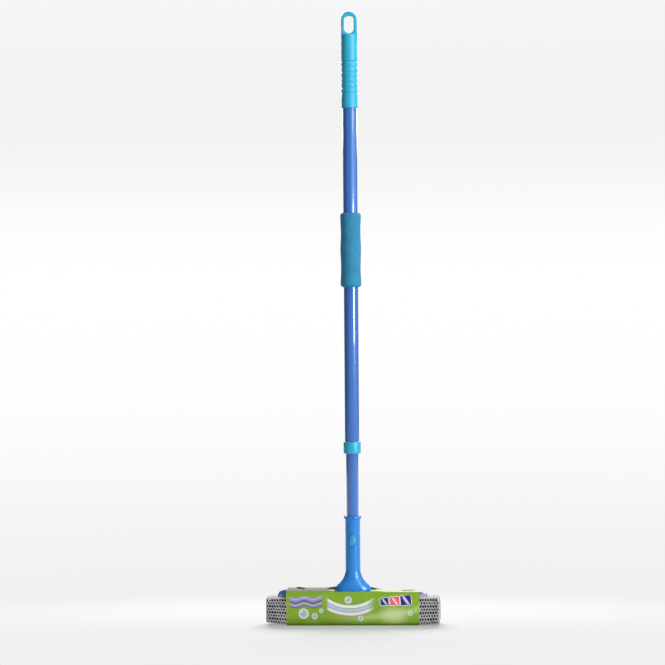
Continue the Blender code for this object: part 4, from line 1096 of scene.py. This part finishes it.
class SQUEEGEE_OT_head_frame(PieceOperator, bpy.types.Operator):
    """Model the head frame: socket, flared neck, web, flange and blade jaw"""

    bl_idname = "squeegee.make_head_frame"
    bl_label = "Head Frame"

    def neck(self, edge):
        """Neck and socket in one stack of rings, with the flare's front swelled."""
        base, top = LOW["head_frame"].z, HIGH["head_frame"].z - MOUTH_DROP
        foot = base + FLARE_LIFT
        widest, skirt = SKIRT[0]
        rings = [
            (widest, FLARE_BACK, base + NECK_LIFT + (skirt - NECK_LIFT) * step / FOOT_STEPS)
            for step in range(FOOT_STEPS)]
        rings += [(wide, FLARE_BACK, base + rise) for wide, rise in SKIRT]
        fronts = [FLARE_FRONT] * len(rings)
        for step in range(FLARE_STEPS + 1):
            angle = FLARE_TURN * (1 - step / FLARE_STEPS)
            grown = (1 - math.cos(angle)) / (1 - math.cos(FLARE_TURN))
            rings.append((
                BARREL_RADIUS + FLARE_RADIUS * (1 - math.cos(angle)),
                BARREL_RADIUS + (FLARE_BACK - BARREL_RADIUS) * grown,
                foot + FLARE_RADIUS * (1 - math.sin(angle))))
            fronts.append(BARREL_RADIUS + (FLARE_FRONT - BARREL_RADIUS) * grown)
        rim = BARREL_RADIUS + RIM_STEP
        mouth = filleted([
            (BARREL_RADIUS, foot + FLARE_RADIUS + 0.001, 0), (BARREL_RADIUS, top - RIM_HEIGHT, edge),
            (rim, top - RIM_HEIGHT, edge * 2), (rim, top, edge * 2.4), (SOCKET_RADIUS, top, edge),
            (SOCKET_RADIUS, SOCKET_FLOOR, 0)], closed=False)
        neck = stack_rings("head_frame_moulded", rings + [(radius, radius, up) for radius, up in mouth])
        open_mesh(neck)
        for (_, back, up), front in zip(rings, fronts):
            select(lambda place: abs(place.z - up) < MERGE * 2 and place.y < 0)
            bpy.ops.transform.resize(value=(1, front / back, 1), center_override=(0, 0, up))
        close_mesh()
        return neck

    def web(self, edge):
        """The upright web, its top higher on the left and with rounded ends."""
        base = LOW["head_frame"].z
        line = filleted([(WEB_FOOT[0], base, 0), *WEB_TOP, (WEB_FOOT[1], base, 0)], steps=4)
        thick = WEB_HALF_THICKNESS
        web = plate("web", [(across, -thick, up) for across, up in line], (0, 2 * thick, 0))
        return apply(web, "BEVEL", width=edge, segments=3, limit_method="ANGLE", angle_limit=math.radians(40))

    def jaw(self, reach):
        """The blade's jaw with its T-shaped slot."""
        wide, narrow = BEAD_HALF + GAP, LIP_ROOT_HALF + GAP
        step = JAW_WALL + BEAD_DEPTH + 2 * GAP
        upper = (
            (JAW_WALL, wide, 0), (step, wide, 0), (step, narrow, 0), (JAW_DEPTH, narrow, JAW_MOUTH_EDGE),
            (JAW_DEPTH, JAW_HALF_WIDTH, JAW_OUTER_EDGE), (JAW_ROOT, JAW_HALF_WIDTH, 0))
        lower = [(along, -across, radius) for along, across, radius in reversed(upper)]
        line = filleted([*lower, *upper], steps=3)
        outline = [(-reach, *jaw_point(along, across)) for along, across in line]
        return plate("jaw", outline, (2 * reach, 0, 0))

    def make(self, sizes, colours):
        edge = sizes.edge_radius
        base = LOW["head_frame"].z
        reach = HIGH["blade_end_stop_right"].x
        screws = [f"backing_screw_{index}" for index in range(1, 5)]
        places = [((LOW[screw].x + HIGH[screw].x) / 2, HIGH[screw].z + GAP) for screw in screws]
        body = self.neck(edge)
        combine(body, self.web(edge), "UNION")
        flange = block(
            "flange", (2 * reach, FLANGE_DEPTH, FLANGE_THICKNESS), (0, 0, base + FLANGE_THICKNESS / 2),
            0.0003)
        combine(body, flange, "UNION")
        for across, _ in places:
            boss = rod("boss", BOSS_RADIUS, (across, 0, base + STUB), (across, 0, base + BOSS_HEIGHT))
            combine(body, boss, "UNION")
        combine(body, self.jaw(reach), "UNION")
        for across, top in places:
            combine(body, rod("pilot", PILOT_RADIUS, (across, 0, base - BEYOND), (across, 0, top)))
        window = loft("window", [
            [(across, deep, up) for across, up in leaf(WINDOW_GAP + growth)]
            for deep, growth in WINDOW_RINGS])
        combine(body, window)
        look = moulded_plastic("sky_blue_frame", colours.sky_blue, roughness=0.20, grain=0.00003)
        settle(body, [look], "head", ["head_frame"])


class SQUEEGEE_OT_release_tongue(PieceOperator, bpy.types.Operator):
    """Model the spring tongue with its leaf-shaped button"""

    bl_idname = "squeegee.make_release_tongue"
    bl_label = "Release Tongue"

    def make(self, sizes, colours):
        low, high = LOW["release_tongue"].z, HIGH["release_tongue"].z
        outer = HIGH["inner_tube"].x
        inner = outer - TONGUE_DEPTH
        tongue = block(
            "release_tongue_moulded", (2 * LEAF_HALF_WIDTH, TONGUE_DEPTH + BEYOND, high - low),
            (0, -inner - (TONGUE_DEPTH + BEYOND) / 2, (low + high) / 2))
        tongue_round = rod("tongue_round", outer, (0, 0, low - BEYOND), (0, 0, high + BEYOND), SIDES)
        combine(tongue, tongue_round, "INTERSECT")
        crown = loft("crown", [
            [(across, deep, up) for across, up in leaf(growth)]
            for deep, growth in ((-inner - TONGUE_DEPTH / 2, 0), *CROWN_RINGS)])
        combine(crown, rod("crown_round", CROWN_RADIUS, (0, 0, low), (0, 0, high), SIDES), "INTERSECT")
        combine(tongue, crown, "UNION")
        look = moulded_plastic("azure_button", colours.azure, roughness=0.34, grain=0.00003)
        settle(tongue, [look], "button", ["release_tongue"])


def dent(along, deep):
    """How far the card's top panel is pressed down on the right, more so at its back."""
    half = HIGH["card_sleeve"].y
    amount = DENT_FRONT + (DENT_BACK - DENT_FRONT) * (deep + half) / (2 * half)
    return amount * smooth_share(along, DENT_START, DENT_END)


class SQUEEGEE_OT_blade(PieceOperator, bpy.types.Operator):
    """Model the rubber blade, its lip standing up in the card's slots"""

    bl_idname = "squeegee.make_blade"
    bl_label = "Rubber Blade"

    def freedom(self, along):
        """How far the lip stands up, 0 under the card and 1 in a slot, and its height there."""
        for places, heights in LIP_SLOTS:
            inside = min(along - places[0], places[-1] - along) - BEYOND
            if inside > 0:
                return smooth_share(inside, 0, LIP_EASE), float(np.interp(along, places, heights))
        return 0, LIP_FREE[1]

    def outline(self, along):
        """The blade's section at a place along the head."""
        free, height = self.freedom(along)
        pressed = LIP_PRESSED[1] - dent(along, LIP_PRESSED[0])
        deep = LIP_PRESSED[0] + (LIP_FREE[0] - LIP_PRESSED[0]) * free
        up = pressed + (height - pressed) * free
        mouth = jaw_point(JAW_DEPTH, 0)
        lean = math.atan2(up - mouth[1], deep - mouth[0])
        out = (math.cos(lean), math.sin(lean))
        side = (-math.sin(lean) * LIP_TIP_HALF, math.cos(lean) * LIP_TIP_HALF)
        back = JAW_WALL + GAP
        shoulder = back + BEAD_DEPTH
        round_end = [
            (deep + side[0] * share + out[0] * drop, up + side[1] * share + out[1] * drop)
            for share, drop in LIP_ROUND]
        foot = (
            (back, BEAD_HALF), (shoulder, BEAD_HALF), (shoulder, LIP_ROOT_HALF),
            (JAW_DEPTH, LIP_ROOT_HALF))
        lower = [jaw_point(place, -across) for place, across in foot]
        upper = [jaw_point(place, across) for place, across in reversed(foot)]
        return [(along, *place) for place in (*lower, *round_end, *upper)]

    def make(self, sizes, colours):
        half = HIGH["rubber_blade"].x
        stations = [-half + 2 * half * k / BLADE_STATIONS for k in range(BLADE_STATIONS + 1)]
        blade = loft("rubber_blade_lip", [self.outline(along) for along in stations])
        settle(blade, [black_rubber("blade_rubber")], "head", ["rubber_blade"])


class SQUEEGEE_OT_card_sleeve(PieceOperator, bpy.types.Operator):
    """Model the printed card sleeve, cut out for the neck and the blade's lip"""

    bl_idname = "squeegee.make_card_sleeve"
    bl_label = "Card Sleeve"

    def press(self):
        """Press the open card's top panel down on the right."""
        shape = bmesh.from_edit_mesh(bpy.context.object.data)
        half = HIGH["card_sleeve"].z / 2
        top = [vertex.co for vertex in shape.verts if vertex.co.z > half]
        for along, deep in {(round(place.x, 5), round(place.y, 5)) for place in top}:
            drop = dent(along, deep)
            if drop > 0:
                select(lambda place: (
                    place.z > half and math.hypot(place.x - along, place.y - deep) < SAME_PLACE))
                bpy.ops.transform.translate(value=(0, 0, -drop))

    def make(self, sizes, colours):
        half_length, half_depth = HIGH["card_sleeve"].x, HIGH["card_sleeve"].y
        height = HIGH["card_sleeve"].z
        line = filleted([
            (half_depth, 0, LOWER_FOLD), (half_depth, height, FOLD), (-half_depth, height, FOLD),
            (-half_depth, 0, LOWER_FOLD)], steps=FOLD_STEPS)
        sleeve = draw("card_sleeve_printed", [(-half_length, deep, up) for deep, up in line])
        stretch = 2 * half_length / CARD_STATIONS
        for _ in range(CARD_STATIONS):
            bpy.ops.mesh.extrude_region_move(TRANSFORM_OT_translate={"value": (stretch, 0, 0)})
        self.press()
        bpy.ops.mesh.select_all(action="SELECT")
        bpy.ops.mesh.normals_make_consistent(inside=False)
        close_mesh()
        board = raw_board("raw_board")
        for look in (PrintedCard("printed_card", colours).printed(), board):
            sleeve.data.materials.append(look)
        apply(sleeve, "SOLIDIFY", thickness=CARD, offset=-1, material_offset=1, material_offset_rim=1)
        for label, corners, low in (
                ("neck_hole", NECK_HOLE, height - NOTCH), ("left_slot", LEFT_SLOT, height - CUT_OUT_HEIGHT),
                ("right_slot", RIGHT_SLOT, height - CUT_OUT_HEIGHT)):
            outline = [(across, back, low) for across, back in filleted(corners)]
            cutter = plate(label, outline, (0, 0, 2 * CUT_OUT_HEIGHT))
            cutter.data.materials.append(board)
            combine(sleeve, cutter)
        settle(sleeve, [], "head", ["card_sleeve"])


class NetCloth:
    """The net's surface: rows run along the head, columns round the sponge."""

    def __init__(self):
        self.low, self.high = LOW["net_cover"].z + NET_INSET, HIGH["net_cover"].z
        self.half = (HIGH["net_cover"].y - LOW["net_cover"].y) / 2 - NET_INSET
        self.middle = (self.low + self.high) / 2
        self.end = HIGH["net_cover"].x
        self.turn_start = self.end - NET_TURN
        self.turn_length = NET_TURN * math.pi / 2
        self.face = self.half - NET_TURN
        self.length = self.turn_start + self.turn_length + self.face

    def section(self, along):
        """Flat line (y, z) round the sponge from the front lip over the bottom to the back one."""
        opened = 1 - smooth_share(along, *SLIT_CLOSES)
        narrow = smooth_share(along, *LIP_RISES)
        slit = (SLIT_HALF + (LIP_GAP - SLIT_HALF) * narrow) * opened
        lip = LIP_HEIGHT * narrow * opened
        half = [
            (-slit - out, self.high + lip * share + LIP_LIFT * narrow * raised)
            for out, share, raised in LIP_STEPS]
        for centre, start in ((self.high - NET_CORNER, math.pi / 2), (self.low + NET_CORNER, math.pi)):
            for step in range(NET_CORNER_STEPS + 1):
                angle = start + math.pi / 2 * step / NET_CORNER_STEPS
                half.append((
                    -self.half + NET_CORNER + NET_CORNER * math.cos(angle),
                    centre + NET_CORNER * math.sin(angle)))
        return np.array(half + [(-y, z) for y, z in reversed(half)])

    def place(self, along, share):
        """Places on the surface for a distance along the head and shares round it."""
        line = self.section(min(along, self.turn_start))
        steps = np.linalg.norm(np.diff(line, axis=0), axis=1)
        gone = np.concatenate([[0], np.cumsum(steps)]) / steps.sum()
        y, z = np.interp(share, gone, line[:, 0]), np.interp(share, gone, line[:, 1])
        past = along - self.turn_start
        if past <= 0:
            swell = SWELL * math.sin(math.pi * min(max((along - SWELL_START) / SWELL_LENGTH, 0), 1))
            wide = tall = 1 + swell / self.half
            x = along
        elif past < self.turn_length:
            angle = past / NET_TURN
            inset = NET_TURN * (1 - math.cos(angle))
            wide, tall = 1 - inset / self.half, 1 - inset / (self.middle - self.low)
            x = self.turn_start + NET_TURN * math.sin(angle)
        else:
            gone_in = min((past - self.turn_length) / self.face, 1)
            wide = (1 - NET_TURN / self.half) * (1 - gone_in * END_NARROWING)
            tall = (1 - NET_TURN / (self.middle - self.low)) * (1 - gone_in * (1 - END_HEIGHT_SHARE))
            x = self.end + END_DOME * math.sin(math.pi * gone_in)
        return np.stack([np.full_like(y, x), y * wide, self.middle + (z - self.middle) * tall], axis=-1)

    def point(self, along, row, lift):
        """One place, moved outwards by lift."""
        nudge, turn = 0.0002, 0.001
        share = row / NET_ROWS
        around = np.clip(np.array([share, share - turn, share + turn]), 0, 1)
        here = self.place(along, around)
        ahead = self.place(along + nudge, around[:1])[0] - self.place(along - nudge, around[:1])[0]
        normal = np.cross(ahead, here[2] - here[1])
        size = np.linalg.norm(normal)
        if size > 0:
            normal = normal / size
        x, y, z = here[0]
        if normal @ np.array([max(x - END_START, 0), y, z - self.middle]) < 0:
            normal = -normal
        return here[0] + normal * lift


def end_lift(along):
    """How far the net's lower edge is drawn up at a place along the head."""
    side = 1 if along > 0 else -1
    return NET_LIFTS[side] * smooth_share(abs(along), LIFT_START, HIGH["net_cover"].x)


class NetCells:
    """Cells of the right-hand bare end, as faces of (along, row, lift) corners."""

    def __init__(self, cloth, sizes):
        length = cloth.length - NET_START
        self.columns = round(length / sizes.mesh_pitch)
        self.pitch = length / self.columns
        self.hole_half = sizes.hole_width / 2

    def corner(self, along, line):
        """A place on the line between two rows, which runs in a zigzag."""
        phase = (along / self.pitch - (line % 2) / 2) % 1
        bent = STRAND_SLANT * (4 * abs(phase - 0.5) - 1) * (0 < line < NET_ROWS)
        return NET_START + along, line + bent

    def upright(self, along, first, last):
        """Four places from one line to the next, at a distance along the head."""
        (place, near), (_, far) = self.corner(along, first), self.corner(along, last)
        return [(place, near + (far - near) * k / 4) for k in range(4)]

    def half_cell(self, start, row):
        """A plain half cell at an end of a shifted row."""
        half = self.pitch / 2
        steps = (start, start + half / 2, start + half)
        ring = [self.corner(along, row) for along in steps] + [(NET_START + start + half, row + 0.5)]
        ring += [self.corner(along, row + 1) for along in reversed(steps)] + [(NET_START + start, row + 0.5)]
        return [(*place, STRAND_LIFT / 2) for place in ring]

    def whole_cell(self, start, row, column):
        """A ring of faces round a hole, or one plain face beside the lips."""
        pitch = self.pitch
        outer = [self.corner(start + k * pitch / 4, row) for k in range(4)]
        outer += self.upright(start + pitch, row, row + 1)
        outer += [self.corner(start + pitch - k * pitch / 4, row + 1) for k in range(4)]
        outer += self.upright(start, row + 1, row)
        raised = [(*place, STRAND_LIFT) for place in outer]
        if row in (0, NET_ROWS - 1):
            return [raised]
        middle = (NET_START + start + pitch / 2, row + 0.5)
        wobble = 0.5 + 0.5 * math.sin(row * WOBBLE_PER_ROW + column * WOBBLE_PER_COLUMN)
        wide = self.hole_half * HOLE_GROWTH[row % 2] * (HOLE_NARROWEST + WIDTH_WOBBLE * wobble)
        tall = HOLE_HEIGHT * HOLE_GROWTH[row % 2] * (HOLE_LOWEST + HEIGHT_WOBBLE * wobble)
        inner = []
        for along, line in outer:
            angle = math.atan2(line - middle[1], (along - middle[0]) / pitch)
            inner.append((middle[0] + wide * math.cos(angle), middle[1] + tall * math.sin(angle), 0.0))
        return [
            [raised[k], raised[(k + 1) % HOLE_POINTS], inner[(k + 1) % HOLE_POINTS], inner[k]]
            for k in range(HOLE_POINTS)]

    def faces(self):
        """All faces, row by row."""
        made = []
        for row in range(NET_ROWS):
            shifted = row % 2
            if shifted:
                last = self.columns * self.pitch - self.pitch / 2
                made += [self.half_cell(start, row) for start in (0, last)]
            for column in range(self.columns - shifted):
                made += self.whole_cell(column * self.pitch + shifted / 2 * self.pitch, row, column)
        return made


class SQUEEGEE_OT_net(PieceOperator, bpy.types.Operator):
    """Model the net round the sponge, with its holes, and the thread of its end seams"""

    bl_idname = "squeegee.make_net"
    bl_label = "Net and Seams"

    def make_cloth(self, sizes, look):
        """The net: both bare ends with their holes, and plain rows between them."""
        cloth = NetCloth()
        shape = bmesh.new()
        known = {}

        def vertex(side, along, row, lift):
            key = (side, round(along, 6), round(row, 4))
            if key not in known:
                x, y, z = cloth.point(along, row, lift)
                z += end_lift(side * x) * min((cloth.high - z) / (cloth.high - cloth.low), 1)
                known[key] = shape.verts.new((side * x, y, z))
            return known[key]

        faces = NetCells(cloth, sizes).faces()
        for side in (-1, 1):
            for face in faces:
                shape.faces.new([vertex(side, *corner) for corner in face])
        edge = {side: {} for side in (-1, 1)}
        for (side, along, row), point in known.items():
            if abs(along - NET_START) < MERGE:
                edge[side][row] = point
        rows = sorted(set(edge[-1]) & set(edge[1]))
        grid = [[edge[-1][row] for row in rows]]
        for step in range(1, NET_STATIONS):
            grid.append([
                shape.verts.new(edge[-1][row].co.lerp(edge[1][row].co, step / NET_STATIONS)) for row in rows])
        grid.append([edge[1][row] for row in rows])
        for near, far in zip(grid, grid[1:]):
            for index in range(len(rows) - 1):
                shape.faces.new((near[index], near[index + 1], far[index + 1], far[index]))
        mesh = bpy.data.meshes.new("net_cover_knitted")
        bmesh.ops.remove_doubles(shape, verts=shape.verts, dist=SAME_PLACE)
        bmesh.ops.recalc_face_normals(shape, faces=shape.faces)
        shape.to_mesh(mesh)
        shape.free()
        net = bpy.data.objects.new("net_cover_knitted", mesh)
        bpy.context.scene.collection.objects.link(net)
        apply(net, "SOLIDIFY", thickness=NET_WALL, offset=-1, use_even_offset=False)
        settle(net, [look], "head", ["net_cover"], angle=math.radians(70))
        along = 2 * cloth.length

    def make_seam(self, side, label, sizes, look):
        """The zigzag of thread up the middle of one end."""
        node = f"net_seam_{label}"
        low, high = LOW[node].z + NET_LIFTS[side] * 0.9 + SEAM_INSET, HIGH[node].z - SEAM_INSET
        reach = HIGH[node].y - sizes.thread_radius
        line = []
        for step in range(STITCHES * STITCH_STEPS + 1):
            share = step / (STITCHES * STITCH_STEPS)
            turn = math.pi * (share * STITCHES - 0.5)
            out = HIGH["net_cover"].x + SEAM_GAP + STITCH_LIFT * abs(math.cos(turn))
            line.append((side * out, reach * math.sin(turn), low + share * (high - low)))
        trace(f"{node}_thread", line)
        close_mesh()
        bpy.ops.object.convert(target="CURVE")
        seam = bpy.context.object
        seam.data.bevel_depth = sizes.thread_radius
        seam.data.bevel_resolution = 3
        seam.data.use_fill_caps = True
        bpy.ops.object.convert(target="MESH")
        settle(bpy.context.object, [look], "head", [node], angle=math.radians(60))

    def make(self, sizes, colours):
        self.make_cloth(sizes, knitted_yarn("grey_yarn", colours.yarn, twist=9000))
        thread = knitted_yarn("white_thread", (0.62, 0.62, 0.62, 1), twist=14000)
        for side, label in ((-1, "left"), (1, "right")):
            self.make_seam(side, label, sizes, thread)


class SQUEEGEE_OT_sponge(PieceOperator, bpy.types.Operator):
    """Model the dark sponge inside the net"""

    bl_idname = "squeegee.make_sponge"
    bl_label = "Sponge"

    def cut(self, low, high, axis, step, steps):
        """Cut through the open sponge, square to an axis."""
        square = [float(index == axis) for index in range(3)]
        place = low[axis] + (high[axis] - low[axis]) * step / steps
        bpy.ops.mesh.select_all(action="SELECT")
        bpy.ops.mesh.bisect(plane_co=[place * share for share in square], plane_no=square)

    def make(self, sizes, colours):
        low = LOW["sponge_core"] + Vector((SPONGE_INSET, SPONGE_INSET, SPONGE_INSET))
        high = HIGH["sponge_core"] - Vector((SPONGE_INSET, SPONGE_INSET, SPONGE_TOP_INSET))
        sponge = block("sponge_core_soft", high - low, (low + high) / 2)
        apply(sponge, "BEVEL", width=SPONGE_EDGE, segments=4)
        open_mesh(sponge)
        for step in range(1, SPONGE_CUTS):
            self.cut(low, high, 0, step, SPONGE_CUTS)
        for step in range(1, SPONGE_SIDE_CUTS):
            for axis in (1, 2):
                self.cut(low, high, axis, step, SPONGE_SIDE_CUTS)
        shape = bmesh.from_edit_mesh(sponge.data)
        for along in sorted({round(vertex.co.x, 5) for vertex in shape.verts}):
            lift = end_lift(along)
            if lift > 0:
                select(lambda place: round(place.x, 5) == along)
                bpy.ops.transform.resize(
                    value=(1, 1, 1 - lift / (high.z - low.z)), center_override=(0, 0, high.z))
        close_mesh()
        lumps = bpy.data.textures.new("sponge_lumps", "CLOUDS")
        lumps.noise_scale = 0.009
        apply(sponge, "DISPLACE", texture=lumps, strength=0.0007, mid_level=0.7, texture_coords="LOCAL")
        settle(
            sponge, [open_sponge("dark_sponge")], "head", ["sponge_core"],
            angle=math.radians(60))


class SQUEEGEE_OT_inner_parts(PieceOperator, bpy.types.Operator):
    """Finish the parts that sit inside: adapter, pins, lock, backing plate, screws and stops"""

    bl_idname = "squeegee.finish_inner_parts"
    bl_label = "Inner Parts"

    def make(self, sizes, colours):
        dark = (0.012, 0.012, 0.014, 1)
        finishes = (
            (plated_steel("plated_steel"), (
                "adapter_pin", "plug_pin", "lock_cap_screw", *(f"backing_screw_{k}" for k in range(1, 5)))),
            (moulded_plastic("grey_nylon", (0.35, 0.36, 0.38, 1), roughness=0.5), (
                "lock_plug", "lock_expander")),
            (moulded_plastic("sky_blue_inner", colours.sky_blue, roughness=0.34), (
                "blade_end_stop_left", "blade_end_stop_right")),
            (moulded_plastic("black_backing", dark, roughness=0.6), ("sponge_backing",)),
            (moulded_plastic("cyan_adapter", colours.cyan, roughness=0.38), ("pole_adapter",)))
        for look, nodes in finishes:
            for node in nodes:
                dress(node, look)


class SQUEEGEE_OT_studio(bpy.types.Operator):
    """Set up the pale floor, the soft lamps and the camera"""

    bl_idname = "squeegee.make_studio"
    bl_label = "Studio"
    bl_options = {"REGISTER", "UNDO"}

    def make_world(self, strength):
        """Soft light from all round, and a white horizon that turns grey higher up."""
        world = bpy.data.worlds.new("studio")
        bpy.context.scene.world = world
        world.use_nodes = True
        world.node_tree.nodes.clear()
        tree = Finish(world.node_tree)
        direction = tree.node("ShaderNodeTexCoord", output="Generated")
        up = tree.node("ShaderNodeSeparateXYZ", None, {0: direction}, output="Z")
        grey = tree.mix(up.step(*SKY_GREY), (1.0, 1.0, 1.0, 1), (0.888, 0.888, 0.886, 1))
        seen = tree.mix(up.step(*SKY_PALE), grey, (0.92, 0.92, 0.92, 1))
        path = tree.node("ShaderNodeLightPath", output="Is Camera Ray")
        clear = path.output("Is Glossy Ray") + path.output("Is Transmission Ray")
        shown = (path + clear).maths("MINIMUM", 1.0)
        light = tree.node("ShaderNodeBackground", None, {"Color": (1, 1, 1, 1), "Strength": strength})
        picture = tree.node("ShaderNodeBackground", None, {"Color": seen, "Strength": 1.0})
        mixed = tree.node("ShaderNodeMixShader", None, {0: shown, 1: light, 2: picture})
        tree.end("ShaderNodeOutputWorld", mixed)

    def make_floor(self):
        """A floor that takes the shadows near the piece and turns white far away."""
        floor = add(
            bpy.ops.mesh.primitive_circle_add, "studio_floor", vertices=64, radius=60, fill_type="NGON",
            location=(0, 0, -0.0002))
        made = bpy.data.materials.new("pale_floor")
        made.use_nodes = True
        made.node_tree.nodes.clear()
        tree = Finish(made.node_tree)
        away = tree.reach()
        square = away * away
        distant = tree.mix(
            square / (square + FLOOR_WHITE ** 2), (0.871, 0.871, 0.873, 1), (1.0, 1.0, 1.0, 1))
        far = tree.reach((0.5, 1.0, 1.0)).step(*FLOOR_FAR)
        seen = tree.mix(far, (FLOOR_GLOW, FLOOR_GLOW, FLOOR_GLOW, 1), distant)
        matt = tree.node("ShaderNodeBsdfDiffuse", None, {"Color": (0.86, 0.86, 0.862, 1)})
        glow = tree.node("ShaderNodeEmission", None, {"Color": seen, "Strength": 1.0})
        camera = tree.node("ShaderNodeLightPath", output="Is Camera Ray")
        share = camera * (FLOOR_SHARE + (1 - FLOOR_SHARE) * far)
        mixed = tree.node("ShaderNodeMixShader", None, {0: share, 1: matt, 2: glow})
        tree.end("ShaderNodeOutputMaterial", mixed)
        floor.data.materials.append(made)

    def make_lamp(self, name, place, aim, size, power):
        """A rectangular lamp that faces a point."""
        bpy.ops.object.select_all(action="DESELECT")
        turn = (Vector(aim) - Vector(place)).to_track_quat("-Z", "Y").to_euler()
        bpy.ops.object.light_add(type="AREA", location=place, rotation=turn)
        lamp = bpy.context.object
        lamp.name = name
        lamp.data.shape = "RECTANGLE"
        lamp.data.size, lamp.data.size_y = size
        lamp.data.energy = power
        lamp.visible_camera = False
        return lamp

    def make_screen(self, name, place, size):
        """A thin dark screen that only shows in gloss."""
        screen = block(name, size, place)
        dark = Surface("dark_screen", {"Base Color": (0.02, 0.02, 0.02, 1), "Roughness": 1.0})
        screen.data.materials.append(dark.look)
        for kind in ("camera", "shadow", "diffuse", "transmission"):
            setattr(screen, f"visible_{kind}", False)

    def make_lights(self, settings):
        """Lamps at the front right that spare the floor, a lamp behind, and dark screens."""
        front = (
            self.make_lamp("softbox", (2.0, -1.67, 0.475), (0, 0, 0.475), (1.0, 0.80), settings.softbox),
            self.make_lamp("fill_lamp", (1.74, -1.93, 0.60), (0, 0, 0.50), (1.2, 0.8), settings.fill),
            self.make_lamp("upper_strip", (1.12, -0.84, 1.55), (0, 0, 0.07), (0.16, 1.3), settings.strip))
        front[0].visible_diffuse = False
        front[1].visible_glossy = False
        spared = bpy.data.collections.new("spared_by_front_lamps")
        spared.objects.link(bpy.data.objects["studio_floor"])
        spared.collection_objects[0].light_linking.link_state = "EXCLUDE"
        for lamp in front:
            lamp.light_linking.receiver_collection = spared
        self.make_lamp("back_lamp", (0, 1.5, 1.35), (0, 0, 0), (1.8, 1.26), settings.back)
        self.make_screen("left_screen", (-1.2, 2.4, 1.4), (0.01, 7.2, 3.2))
        self.make_screen("right_screen", (1.3, 3.4, 1.4), (0.01, 6.0, 3.2))
        self.make_screen("front_screen", (-1.6, -6.0, 1.6), (6.4, 0.01, 5.0))

    def make_camera(self, settings):
        """The camera at the photograph's angle."""
        bpy.ops.object.camera_add(location=CAMERA_PLACE)
        camera = bpy.context.object
        camera.name = "photo_camera"
        yaw, pitch, roll = (math.radians(angle) for angle in CAMERA_TURN)
        upright = Matrix.Rotation(yaw, 4, "Z") @ Matrix.Rotation(math.pi / 2 + pitch, 4, "X")
        camera.rotation_euler = (upright @ Matrix.Rotation(roll, 4, "Z")).to_euler()
        camera.data.lens = settings.lens
        camera.data.sensor_width = 36
        camera.data.clip_end = 200
        bpy.context.scene.camera = camera

    def execute(self, context):
        settings = context.scene.squeegee_studio
        self.make_world(settings.surround)
        self.make_floor()
        self.make_lights(settings)
        self.make_camera(settings)
        context.scene.view_settings.view_transform = "Standard"
        return {"FINISHED"}


class SQUEEGEE_PT_panel(bpy.types.Panel):
    """Sizes, colours and the steps that make the squeegee"""

    bl_label = "Window Squeegee"
    bl_idname = "SQUEEGEE_PT_panel"
    bl_space_type = "VIEW_3D"
    bl_region_type = "UI"
    bl_category = "Squeegee"

    def draw(self, context):
        column = self.layout.column()
        for settings in ("squeegee_sizes", "squeegee_colours", "squeegee_studio"):
            group = getattr(context.scene, settings)
            for label in group.bl_rna.properties.keys():
                if label not in ("rna_type", "name"):
                    column.prop(group, label)
        for step in STEPS:
            column.operator(step.bl_idname)


STEPS = (
    SQUEEGEE_OT_studio, SQUEEGEE_OT_tubes, SQUEEGEE_OT_collar, SQUEEGEE_OT_foam_grip, SQUEEGEE_OT_hanger,
    SQUEEGEE_OT_head_frame, SQUEEGEE_OT_release_tongue, SQUEEGEE_OT_blade, SQUEEGEE_OT_sponge,
    SQUEEGEE_OT_net, SQUEEGEE_OT_card_sleeve, SQUEEGEE_OT_inner_parts)
GROUPS = (SqueegeeColours, SqueegeeSizes, SqueegeeStudio)


def register():
    """Register the settings, the operators and the panel."""
    for kind in (*GROUPS, *STEPS, SQUEEGEE_PT_panel):
        bpy.utils.register_class(kind)
    bpy.types.Scene.squeegee_colours = PointerProperty(type=SqueegeeColours)
    bpy.types.Scene.squeegee_sizes = PointerProperty(type=SqueegeeSizes)
    bpy.types.Scene.squeegee_studio = PointerProperty(type=SqueegeeStudio)


def unregister():
    """Take the settings, the operators and the panel away again."""
    for label in ("squeegee_colours", "squeegee_sizes", "squeegee_studio"):
        delattr(bpy.types.Scene, label)
    for kind in reversed((*GROUPS, *STEPS, SQUEEGEE_PT_panel)):
        bpy.utils.unregister_class(kind)


def main():
    """Make the studio and every piece."""
    register()
    for step in STEPS:
        group, label = step.bl_idname.split(".")
        getattr(getattr(bpy.ops, group), label)()


if __name__ == "__main__":
    main()
